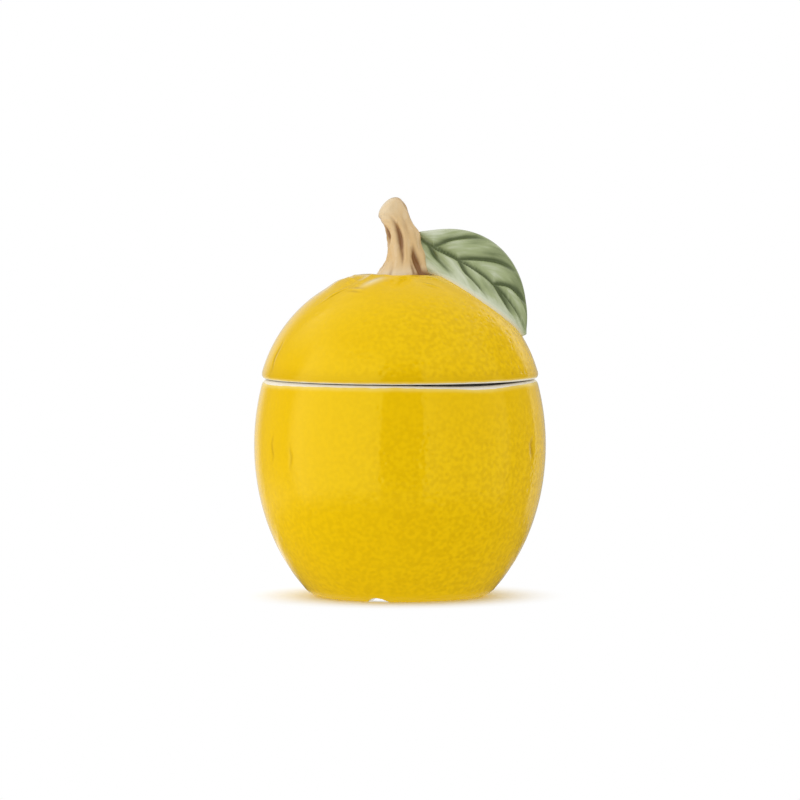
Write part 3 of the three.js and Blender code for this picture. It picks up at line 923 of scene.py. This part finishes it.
stem = {
    "offset": 1.8,  # of the foot from the jar's axis
    "waist": 7.5,
    "head": 5.5,
    "flare": 3.9,  # of the foot
    "flareLength": 4.8,
    "flareRight": 0.5,  # share of the flare on the buttress side
    "taperPower": 1.2,
    "straight": 11.1,
    "bendRadius": 26.5,
    "bendAngle": math.radians(46),
    "headLength": 3.2,
    "headRound": 2.1,
    "buttress": 2.2,  # under the leaf
    "buttressAngle": math.radians(-14),
    "buttressWidth": 0.7,
    "buttressTop": (7.5, 13.5),
    "sink": 0.7,  # of the foot into the dome, where slip joins them
    "lift": 0.3,  # of the foot over the navel
    # each groove: angle at its foot and head, lower and upper end along the stem, width, depth
    "grooves": (
        (-97, -108, 0.1, 0.92, 1.5, 1.4),
        (-94, -104, 0.02, 0.62, 0.9, 0.9),
        (-50, -72, -0.2, 0.5, 1.7, 1.75),
        (-68, -74, -0.35, 0.42, 1.0, 0.9),
        (-78, -62, 0.3, 0.98, 1.1, 0.5),
        (-122, -130, -0.3, 0.3, 1.2, 0.7),
        (-150, -160, 0.36, 0.84, 1.6, 0.9),
        (-172, -168, -0.3, 0.36, 1.5, 0.7),
        (152, 146, -0.3, 0.74, 1.6, 1.2),
        (112, 104, 0.1, 0.9, 1.5, 1.2),
        (84, 88, -0.3, 0.42, 1.5, 1.1),
        (52, 56, -0.3, 0.68, 1.7, 1.2),
        (-5, 20, 0.6, 0.94, 1.6, 0.5),
    ),
    "grooveEnds": (0.45, 0.5),  # shares of its length at which a groove is full, and starts to run out
    "grooveTip": 0.35,  # share of its width at its ends
    "groovePool": 1.25,  # depth of a groove full of glaze
    "web": 0.7,  # towards the top of the leaf
    "webWidth": 0.45,
    "webHeight": 16.3,
    "webReach": 2.2,
    "neck": 1.2,  # narrowing on the right, above the leaf
    "neckWidth": 0.8,
    "neckHeight": 21,
    "neckReach": 3.4,
    "gnarl": 0.28,
    "toeStain": (-47, 24, 3.4, 1.1),  # angle, half width in degrees, height, share
    # painted shade up the left and right flanks: angle, half width, heights between which they come in,
    # share
    "flankShades": ((math.pi, 0.55, 4, 12, 0.42), (0, 0.55, 15, 22, 0.55)),
    "footPale": 3.4,  # height
    "headPale": 0.9,
    "topHighlight": (11, 3, 0.75),  # painted highlight towards the top, mostly on the left: from and to, down from the top, and share
    "topHighlightRight": 0.25,  # share of that painted highlight on the right
    "rings": 130,
    "sides": 150,
}
stemBase = navelHeight + stem["lift"]
stemLength = stem["straight"] + stem["bendRadius"] * stem["bendAngle"]


def apart(angle, other):  # the shorter way round from one angle to another
    return (angle - other + np.pi) % (2 * np.pi) - np.pi


def ripple(x, y, z):  # a gentle fixed unevenness
    knots = np.sin(1.9 * y - 0.9 * z + 1.1) * np.sin(0.8 * x + 0.6 * z)
    return (np.sin(0.71 * x + 1.3 * y + 0.37 * z) + knots) / 2


def stemRings(s):
    share = (1 - np.cos(np.pi * np.linspace(0, 1, s["rings"] + 1))) / 2
    along = (-s["sink"] + share * (stemLength + s["sink"]))[:-1, None]
    angle = np.linspace(0, 2 * np.pi, s["sides"], endpoint=False)[None, :]
    bend = np.maximum(0, along - s["straight"]) / s["bendRadius"]
    centreX = s["offset"] - s["bendRadius"] * (1 - np.cos(bend))
    centreZ = stemBase + np.minimum(along, s["straight"]) + s["bendRadius"] * np.sin(bend)
    flare = s["flare"] * hump(np.maximum(along, 0) / s["flareLength"])
    head = np.clip((along - stemLength + s["headLength"]) / s["headLength"], 0, 1)
    upwards = np.clip(along / stemLength, 0, 1)
    taper = s["waist"] + (s["head"] - s["waist"]) * upwards ** s["taperPower"]
    rightwards = hump(apart(angle, s["buttressAngle"]) / s["buttressWidth"])
    buttress = s["buttress"] * rightwards * (1 - smooth(along, *s["buttressTop"]))
    plain = taper + flare * (1 - (1 - s["flareRight"]) * rightwards) + buttress
    webUp = (along - s["webHeight"]) / s["webReach"]
    web = s["web"] * hump(apart(angle, 0) / s["webWidth"], webUp)
    neckUp = (along - s["neckHeight"]) / s["neckReach"]
    web = web - s["neck"] * hump(apart(angle, 0) / s["neckWidth"], neckUp)
    dip = np.zeros(np.broadcast(along, angle).shape)
    full, fading = s["grooveEnds"]
    for footAngle, headAngle, lower, upper, width, depth in s["grooves"]:
        middle = np.radians(footAngle + (headAngle - footAngle) * upwards)
        way = (along / stemLength - lower) / (upper - lower)
        runOut = smooth(way, 0, full) * (1 - smooth(way, fading, 1))
        aside = apart(angle, middle) * plain / (width * (s["grooveTip"] + (1 - s["grooveTip"]) * runOut))
        dip = np.maximum(dip, hump(aside) * runOut * depth)
    across = np.cos(angle)
    radius = (plain + web) * (1 - head ** 2) ** (1 / s["headRound"])
    uneven = s["gnarl"] * ripple(radius * across, radius * np.sin(angle), along) * (1 - head)
    radius = radius - dip * (1 - head) + uneven
    x = centreX + np.cos(bend) * across * radius
    y = np.sin(angle) * radius
    z = centreZ + np.sin(bend) * across * radius
    toeAngle, toeWidth, toeHeight, toeShare = s["toeStain"]
    toeAside = np.degrees(apart(angle, math.radians(toeAngle))) / toeWidth
    toe = hump(toeAside, along / toeHeight)
    poolAndShade = np.maximum(dip / s["groovePool"], toeShare * toe)
    # painted shade up the stem's left and right flanks
    for middle, width, low, high, share in s["flankShades"]:
        poolAndShade = poolAndShade + share * (hump(apart(angle, middle) / width) * smooth(along, low, high))
    thin = np.maximum(hump(along / s["footPale"]) * (1 - toe), s["headPale"] * head)
    # a painted highlight towards the top of the stem, mostly on its left
    start, end, share = s["topHighlight"]
    litLeftwards = s["topHighlightRight"] + (1 - s["topHighlightRight"]) * (1 - across) / 2
    thin = np.maximum(thin, share * litLeftwards * smooth(along, stemLength - start, stemLength - end))
    return np.stack([x, y, z], -1), poolAndShade, thin


def makeStem(s, material):
    rings, poolAndShade, thin = stemRings(s)
    piece = skin("glazedStem", rings, material)
    setAttribute(piece.data, "poolAndShade", np.concatenate([poolAndShade.ravel(), [0, 0]]))
    setAttribute(piece.data, "thin", np.concatenate([thin.ravel(), [0, 1]]))
    return piece


stemPiece = makeStem(stem, barkGlaze(barkLook))
print("stem:", len(stemPiece.data.polygons), "faces")


# Leaf

leaf = {
    "rootHeight": 16.2,
    "rootSink": 2,
    "rootKick": 1.7,  # of the root up the stem
    "kickPower": 12,
    "tipAngle": math.radians(59.7),
    "arch": 7.5,
    "dropPower": 4,
    "edgeLift": 1.6,
    "endPower": 6,
    "nearReach": 18,
    "nearTaper": 0.9,
    "nearRoot": 0.03,
    "nearDip": 4,
    "farWidth": 17.6,
    "farTaper": 1.39,
    "farRoot": 0.01,
    "farTilt": math.radians(45),
    "foldSoft": 0.2,
    "cup": 0.04,
    "thickness": 4.2,
    "edgePower": 6,
    "tipPower": 10,
    "start": 0.01,
    "end": 0.985,
    # each vein's way over the leaf: share of the way to the tip, and to the edge; below 0 is the near half
    "midrib": (
        ((0.0, 0.0), (0.09, -0.07), (0.28, -0.13), (0.48, -0.15))
        + ((0.64, -0.17), (0.8, -0.17), (0.92, -0.1), (0.985, 0.0))
    ),
    "veins": (
        ((0.11, -0.04), (0.166, 0.32), (0.21, 0.54), (0.29, 0.73), (0.40, 0.92)),
        ((0.27, -0.14), (0.39, 0.2), (0.51, 0.53), (0.645, 0.86)),
        ((0.56, -0.18), (0.656, 0.26), (0.74, 0.5), (0.82, 0.72)),
        ((0.07, -0.06), (0.11, -0.3), (0.155, -0.48), (0.31, -0.92)),
        ((0.29, -0.15), (0.356, -0.41), (0.42, -0.53), (0.61, -0.9)),
        ((0.59, -0.20), (0.653, -0.32), (0.70, -0.42), (0.84, -0.8)),
    ),
    "midribWidth": 1.15,
    "midribDepth": 0.9,
    "veinWidth": 1.0,
    "veinDepth": 0.85,
    "veinFade": 4,  # power by which a vein runs out at its end
    "valleyWidth": 2.7,
    "pillowRise": 1.2,  # of the blade between the veins
    "ribHeight": 0.4,  # of the veins under the leaf
    "ribStart": (0.1, 0.3),
    "pressFade": 8,  # power by which the veins run out at the edge
    # how the glaze lies, with painted shade and painted light on the blade, in shares, and in places as for
    # the veins between which they come in
    "veinPool": 0.78,
    "rootPool": 0.2,  # less of it at the root
    "rootReach": (0.04, 0.2),
    "valleyPool": 0.22,
    "farShade": (0.15, 0.6),
    "farShades": ((0.36, 0.18, 0.45), (0.16, 0.55, 0.85)),
    "nearShade": (0.32, (0.1, 0.2), (0.5, 0.75), (0.42, 0.58)),
    "nearThin": ((0.8, 0.72), (0.9, 0.88)),
    "farThin": (0.4, 0.86),
    "tipThin": (0.5, 0.95),
    "underThin": 0.3,
    # painted light on the lobes, over their thinner glaze
    "nearLitPale": (0.65, (0.0, 0.2), (0.38, 0.55), (0.6, 0.9)),
    "farLitPale": (0.45, (0.05, 0.35)),
    "rootLitPale": (1.05, 2.8),  # painted light at the root, and how fast it goes
    "palePower": 1.3,
    "strokes": 16,  # of the brush, from root to tip
    "strokeSlant": 0.33,  # they run with the side veins
    "steps": 170,
    "columns": 66,
}
leafRootX = stem["offset"] + stem["waist"] - leaf["rootSink"]
leafRootZ = stemBase + leaf["rootHeight"] - domeOuter["centre"]
leafRootAngle = math.atan2(leafRootX, leafRootZ)
leafRootLift = math.hypot(leafRootX, leafRootZ) - domeCurve
leafNearRootAngle = math.asin(leafRootX / domeCurve)
nudge = 0.003


def halfOutline(u, taper, root):
    share = (u + root) / (1 + root)
    widest = 1 / (1 + taper)
    return share / widest * (np.maximum(1 - share, 0) / (1 - widest)) ** taper


def overDome(polar, aside, lift):
    reach = np.sqrt((domeCurve + lift) ** 2 - aside ** 2)
    height = reach * np.cos(polar) + domeOuter["centre"]
    return np.stack([reach * np.sin(polar), aside + 0 * reach, height], -1)


def midrib(u, raised=0.0):
    polar = leafRootAngle + (leaf["tipAngle"] - leafRootAngle) * u
    drop = leafRootLift * (1 - u) ** leaf["dropPower"]
    drop = drop + leaf["rootKick"] * np.abs(1 - u) ** leaf["kickPower"]
    lift = drop + leaf["arch"] * 4 * u * (1 - u) + leaf["edgeLift"] * u ** leaf["endPower"]
    return overDome(polar, 0 * u, lift + raised)


def nearEdge(u):
    polar = leafNearRootAngle + (leaf["tipAngle"] - leafNearRootAngle) * u
    aside = -leaf["nearReach"] * halfOutline(u, leaf["nearTaper"], leaf["nearRoot"])
    return overDome(polar, aside, leaf["edgeLift"] - leaf["nearDip"] * (1 - u) ** leaf["endPower"])


def farEdge(u):
    width = leaf["farWidth"] * halfOutline(u, leaf["farTaper"], leaf["farRoot"])
    edge = midrib(u, width * math.sin(leaf["farTilt"]))
    edge[..., 1] = width * math.cos(leaf["farTilt"])
    return edge


def leafFace(u, v):
    rib = midrib(u)
    along = midrib(u + nudge) - midrib(u - nudge)
    soft = np.sqrt(v * v + leaf["foldSoft"] ** 2)
    whole = 1 + math.sqrt(1 + leaf["foldSoft"] ** 2)
    face = rib.copy()
    for edge, share, turn in ((nearEdge(u), (soft - v) / whole, -1), (farEdge(u), (soft + v) / whole, 1)):
        span = edge - rib
        up = unit(np.cross(along, span)) * turn
        width = np.linalg.norm(span, axis=-1, keepdims=True)
        share = share[..., None]
        face = face + span * share - up * leaf["cup"] * width * 4 * share * (1 - share)
    return face


def leafNormal(u, v):
    along = leafFace(u + nudge, v) - leafFace(u - nudge, v)
    across = leafFace(u, v + nudge) - leafFace(u, v - nudge)
    return unit(np.cross(along, across))


def smoothPath(points, count=70):  # a curve through a few points
    p = np.array(points, float)
    p = np.concatenate([2 * p[:1] - p[1:2], p, 2 * p[-1:] - p[-2:-1]])
    place = np.linspace(0, len(points) - 1, count)
    i = np.minimum(place.astype(int), len(points) - 2)
    t = (place - i)[:, None]
    a, b, c, d = p[i], p[i + 1], p[i + 2], p[i + 3]
    bend = (2 * a - 5 * b + 4 * c - d) * t ** 2
    return 0.5 * (2 * b + (c - a) * t + bend + (3 * b - a - 3 * c + d) * t ** 3)


def pressVeins(f, points):  # how deep the face is pressed, and how near to a vein it is, sharp and soft
    tracks = [(f["midrib"], f["midribWidth"], f["midribDepth"])]
    tracks += [(vein, f["veinWidth"], f["veinDepth"]) for vein in f["veins"]]
    shape = points.shape[:-1]
    core, valley, dip = np.zeros(shape), np.zeros(shape), np.zeros(shape)
    for path, width, depth in tracks:
        path = smoothPath(path)
        share = np.linspace(0, 1, len(path))
        away = np.linalg.norm(points[..., None, :] - leafFace(path[:, 0], path[:, 1]), axis=-1)
        runOut = 1 - share[away.argmin(-1)] ** f["veinFade"]
        away = away.min(-1)
        hollow = hump(away / width) * runOut
        core = np.maximum(core, hollow)
        dip = np.maximum(dip, hollow * depth)
        valley = np.maximum(valley, hump(away / f["valleyWidth"]) * runOut)
    return dip - (1 - valley) * f["pillowRise"], core, valley


def roundLeaf(under, over):  # one ring round the blade for each step along it
    return np.concatenate([under, over[:, -2:0:-1]], axis=1)


def leafPoolAndShade(f, u, v, core, valley):
    # painted shade over the far half, deeper towards the tip, and on a band of the near half
    far = sum(share * smooth(u, low, high) for share, low, high in f["farShades"])
    shade = smooth(v, *f["farShade"]) * far
    share, inner, outer, along = f["nearShade"]
    shade = shade + share * smooth(-v, *inner) * (1 - smooth(-v, *outer)) * smooth(u, *along)
    root = 1 - smooth(u, *f["rootReach"])
    return np.clip((f["veinPool"] - f["rootPool"] * root) * core + f["valleyPool"] * valley + shade, 0, 1)


def leafThinAndLit(f, u, v, valley):
    nearThin = sum(share * smooth(-v, start, 1.0) for share, start in f["nearThin"])
    farThin, farStart = f["farThin"]
    tipThin, tipStart = f["tipThin"]
    edgeThin = np.maximum(nearThin, farThin * smooth(v, farStart, 1.0))
    thin = np.maximum(edgeThin, tipThin * smooth(u, tipStart, 1))
    # painted light on the raised lobes: over the near half, and on the far half beside the midrib and
    # towards the root
    share, inner, along, outer = f["nearLitPale"]
    nearLitPale = smooth(-v, *inner) * (share - share * smooth(u, *along) * (1 - smooth(-v, *outer)))
    share, inner = f["farLitPale"]
    rootLitPale, rootFall = f["rootLitPale"]
    farLitPale = np.maximum(share * (1 - smooth(v, *inner)), rootLitPale - rootFall * u)
    return np.maximum(thin, np.where(v < 0, nearLitPale, farLitPale) * (1 - valley) ** f["palePower"])


def makeLeaf(f, material):
    u = np.linspace(f["start"], f["end"], f["steps"] + 1)[:, None]
    v = np.sin(np.linspace(-1, 1, 2 * f["columns"] + 1) * np.pi / 2)[None, :]
    u, v = np.broadcast_arrays(u, v)
    face = leafFace(u, v)
    up = leafNormal(u, v)
    half = f["thickness"] / 2 * np.sqrt((1 - v ** f["edgePower"]) * (1 - u ** f["tipPower"]))
    dip, core, valley = pressVeins(f, face)
    inwards = 1 - v ** f["pressFade"]
    over = face + up * (half - f["thickness"] / 2 - dip * inwards)[..., None]
    rib = core * f["ribHeight"] * smooth(v, *f["ribStart"]) * inwards
    under = face - up * (half + f["thickness"] / 2 + rib)[..., None]
    piece = skin("glazedLeaf", roundLeaf(under, over), material)
    poolAndShade = leafPoolAndShade(f, u, v, core, valley)
    thin = leafThinAndLit(f, u, v, valley)
    streak = f["strokes"] * (u - f["strokeSlant"] * np.abs(v))
    for name, underside, topside, ends in (
        ("streak", streak, streak, (0, f["strokes"])),
        ("across", v, v, (0, 0)),
        ("poolAndShade", 0 * poolAndShade, poolAndShade, (0, 0)),
        ("thin", f["underThin"] + 0 * thin, thin, (0, 1)),
    ):
        setAttribute(piece.data, name, np.concatenate([roundLeaf(underside, topside).ravel(), ends]))
    return piece


leafPiece = makeLeaf(leaf, leafGlaze(leafLook))
print("leaf:", len(leafPiece.data.polygons), "faces")


# Each piece rides on its body and stands for its CAD node

for piece, body, node, slot in (
    (jarPiece, "jar", "jar_body", "yellow_glaze"),
    (lidPiece, "lid", "lid_dome", "yellow_glaze"),
    (stemPiece, "lid", "stem_knob", "bark_glaze"),
    (leafPiece, "lid", "leaf", "leaf_glaze"),
):
    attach(piece, body)
    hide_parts(node)
print("pieces placed")


# Studio: a white board, a soft ceiling, and soft sheets of light and dark flags that show in the glaze

studio = {
    "boardRadius": 0.13,
    "boardSides": 96,
    "boardColour": (0.94, 0.94, 0.94, 1),
    "boardRoughness": 0.8,
    "boardSpecular": 0.1,
    "boardClear": (0.037, 0.07),  # where the board's white takes over from its shading
    "boardUnder": (0.024, 0.03),  # and under the foot, where the notches show it
    "ceiling": {"height": 1.2, "size": 2.2, "radiance": 0.12},
    "ambient": 1.0,
    "boardBounce": 0.8,  # of plain white in what the board throws back
}
# patches of the studio's sky, in degrees: angles to the right of the camera, angles above the floor,
# radiance, and the shares of them that fade out at the sides, at the foot and at the top
panels = {
    "lowLeft": ((-172, -84), (-60, -3), 0.46, (0.15, 0.05, 0.3)),
    "lightWall": ((-100, -10), (-34, 48), 1.3, (0.22, 0.42, 0.28)),
    "frontFlag": ((-15.8, 19.7), (-34, 54), 0.03, (0.04, 0.24, 0.24)),
    "leftFlag": ((-155, -85), (-60, 55), 0.17, (0.25, 0.1, 0.3)),
    "rightStrip": ((136, 151), (8, 46), 0.85, (0.25, 0.3, 0.3)),
    "rightFlag": ((90, 138), (-60, 60), 0.15, (0.2, 0.1, 0.25)),
    "backFlag": ((134, 184), (-60, 62), 0.42, (0.1, 0.1, 0.15)),
    "leftTopFlag": ((-192, -130), (14, 78), 0.33, (0.12, 0.3, 0.2)),
    "leftBackFlag": ((-192, -140), (-60, 62), 0.7, (0.12, 0.1, 0.15)),
    "rightWall": ((12, 150), (-60, 62), 0.55, (0.27, 0.1, 0.25)),
    "roof": ((-180, 180), (38, 90), 0.45, (0, 0.3, 0)),
    "leftGlow": ((-165, -80), (-40, 62), 1.6, (0.2, 0.3, 0.3)),
    "rightShade": ((0, 95), (-40, 70), 0.85, (0.25, 0.3, 0.3)),
    "rightGlow": ((80, 170), (-50, 38), 1.38, (0.3, 0.3, 0.3)),
}
# cards on the floor round the foot: angles as above, reach and height in metres, and the rest as above
cards = {
    "darkFloor": ((-139, 156), (0.036, 0.2), 0.0004, 0.1, (0.1, 0.03, 0.55)),
    "leftEdge": ((-168, -98), (0.042, 0.088), 0.0006, 0.5, (0.3, 0.2, 0.4)),
    "rightEdge": ((100, 168), (0.042, 0.088), 0.0006, 0.35, (0.3, 0.2, 0.4)),
    "leftFloor": ((-165, -55), (0.05, 0.22), 0.0008, 1.55, (0.25, 0.2, 0.4)),
}
shinesOnly = ("leftGlow", "rightShade", "rightGlow", "leftFloor")  # these light the jar, unseen in its glaze
showsAndShines = ("lightWall",)  # the others only show in the glaze
skyRadius, skyStep = 1.5, 0.03  # of the first patch, and how much further out each next one stands


def whiteRays(g):  # rays that see the plain white background: camera, mirror and clear ones
    kinds = ("Is Camera Ray", "Is Glossy Ray", "Is Transmission Ray")
    camera, glossy, clear = g.node("ShaderNodeLightPath", {}, {}, kinds)
    return g.math("MAXIMUM", g.math("MAXIMUM", camera, glossy), clear)


def makeWorld(ambient):
    world = bpy.data.worlds.new("studioWorld")
    world.use_nodes = True
    g = Wire(world.node_tree)
    level = whiteRays(g) * (1 - ambient) + ambient
    background = world.node_tree.nodes["Background"]
    fix(background, {"Color": (1, 1, 1, 1)})
    feed(g, background, {"Strength": level})
    scene.world = world


def makeBoard(s):
    turn = np.linspace(0, 2 * np.pi, s["boardSides"], endpoint=False)
    corners = [(s["boardRadius"] * math.cos(t), s["boardRadius"] * math.sin(t), 0) for t in turn]
    mesh = bpy.data.meshes.new("whiteBoard")
    mesh.from_pydata(corners, [], [tuple(range(len(corners)))])
    board = addPiece("whiteBoard", mesh)
    material, g, shader = newMaterial("boardPaint")
    middle = fromAxis(*g.node("ShaderNodeSeparateXYZ", {}, {"Vector": objectPoint(g)}, ("X", "Y")))
    outwards = g.math("MAXIMUM", middle.ramp(*s["boardClear"]), 1 - middle.ramp(*s["boardUnder"]))
    glow = g.node("ShaderNodeEmission", {}, {"Color": (1, 1, 1, 1), "Strength": 1.0})
    fix(shader, {"Base Color": s["boardColour"], "Roughness": s["boardRoughness"]})
    fix(shader, {"Specular IOR Level": s["boardSpecular"]})
    paint = Wire(g.tree, shader.outputs["BSDF"])
    bounced = g.node("ShaderNodeLightPath", {}, {}, "Is Diffuse Ray") * s["boardBounce"]
    share = g.math("MAXIMUM", outwards * whiteRays(g), bounced)
    mixed = g.node("ShaderNodeMixShader", {}, {"Fac": share, "Shader": paint, "Shader_001": glow})
    feed(g, g.tree.nodes["Material Output"], {"Surface": mixed})
    mesh.materials.append(material)


def glowSheet(name, place, radiance, fade):  # a grid of points as a sheet that glows and fades at its edges
    rows, columns = place.shape[:2]
    corner = np.arange(rows * columns).reshape(rows, columns)
    faces = np.stack([corner[:-1, :-1], corner[1:, :-1], corner[1:, 1:], corner[:-1, 1:]], -1)
    mesh = bpy.data.meshes.new(name)
    mesh.from_pydata(place.reshape(-1, 3).tolist(), [], faces.reshape(-1, 4).tolist())
    setAttribute(mesh, "across", np.repeat(np.linspace(0, 1, rows), columns))
    setAttribute(mesh, "upwards", np.tile(np.linspace(0, 1, columns), rows))
    sheet = addPiece(name, mesh)
    material = bpy.data.materials.new(name)
    material.use_nodes = True
    g = Wire(material.node_tree)
    across, upwards = attribute(g, "across"), attribute(g, "upwards")
    sides, foot, top = fade
    cover = 1
    for share, width in ((across, sides), (1 - across, sides), (upwards, foot), (1 - upwards, top)):
        if width:
            cover = cover * share.ramp(0, width)
    glow = g.node("ShaderNodeEmission", {}, {"Color": (1, 1, 1, 1), "Strength": radiance})
    clear = g.node("ShaderNodeBsdfTransparent")
    mixed = g.node("ShaderNodeMixShader", {}, {"Fac": cover, "Shader": clear, "Shader_001": glow})
    feed(g, g.tree.nodes["Material Output"], {"Surface": mixed})
    mesh.materials.append(material)
    sheet.visible_camera = False
    sheet.visible_shadow = False
    sheet.visible_diffuse = name in shinesOnly + showsAndShines
    sheet.visible_glossy = name not in shinesOnly


def makePanel(name, radius, turns, rises, radiance, fade, steps=32):
    turn = np.radians(np.linspace(*turns, steps + 1))[:, None]
    rise = np.radians(np.linspace(*rises, steps + 1))[None, :]
    place = [np.sin(turn) * np.cos(rise), -np.cos(turn) * np.cos(rise), np.sin(rise) + 0 * turn]
    glowSheet(name, radius * np.stack(place, -1), radiance, fade)


def makeCard(name, turns, reaches, height, radiance, fade, steps=64, rows=8):
    turn = np.radians(np.linspace(*turns, steps + 1))[:, None]
    reach = np.linspace(*reaches, rows + 1)[None, :]
    place = [reach * np.sin(turn), -reach * np.cos(turn), height + 0 * reach * turn]
    glowSheet(name, np.stack(place, -1), radiance, fade)


def aimed(name, data, place, aim):  # a camera or a light
    thing = addPiece(name, data)
    thing.location = place
    thing.rotation_euler = (Vector(aim) - Vector(place)).to_track_quat("-Z", "Y").to_euler()
    return thing


def makeCeiling(height, size, radiance):
    light = bpy.data.lights.new("ceiling", "AREA")
    light.shape = "RECTANGLE"
    light.size = size
    light.size_y = size
    light.energy = 4 * size * size * radiance  # gives the light this radiance in Cycles
    aimed("ceiling", light, (0, 0, height), (0, 0, 0)).visible_camera = False


makeWorld(studio["ambient"])
makeBoard(studio)
for number, (name, panel) in enumerate(panels.items()):
    makePanel(name, skyRadius + skyStep * number, *panel)
for name, card in cards.items():
    makeCard(name, *card)
makeCeiling(**studio["ceiling"])


# Camera at the photograph's place

view = {
    "eye": (0, -2.5, 0.211),
    "aim": (0, 0, 0.0806),
    "pixelsPerMetre": 292 / 0.120,  # at the aim, in a picture of 800 pixels
    "pictureSide": 800,
}
camera = bpy.data.cameras.new("photoCamera")
distance = (Vector(view["aim"]) - Vector(view["eye"])).length
camera.lens = camera.sensor_width * view["pixelsPerMetre"] * distance / view["pictureSide"]
scene.camera = aimed("photoCamera", camera, view["eye"], view["aim"])
scene.view_settings.view_transform = "Standard"
print("studio ready")
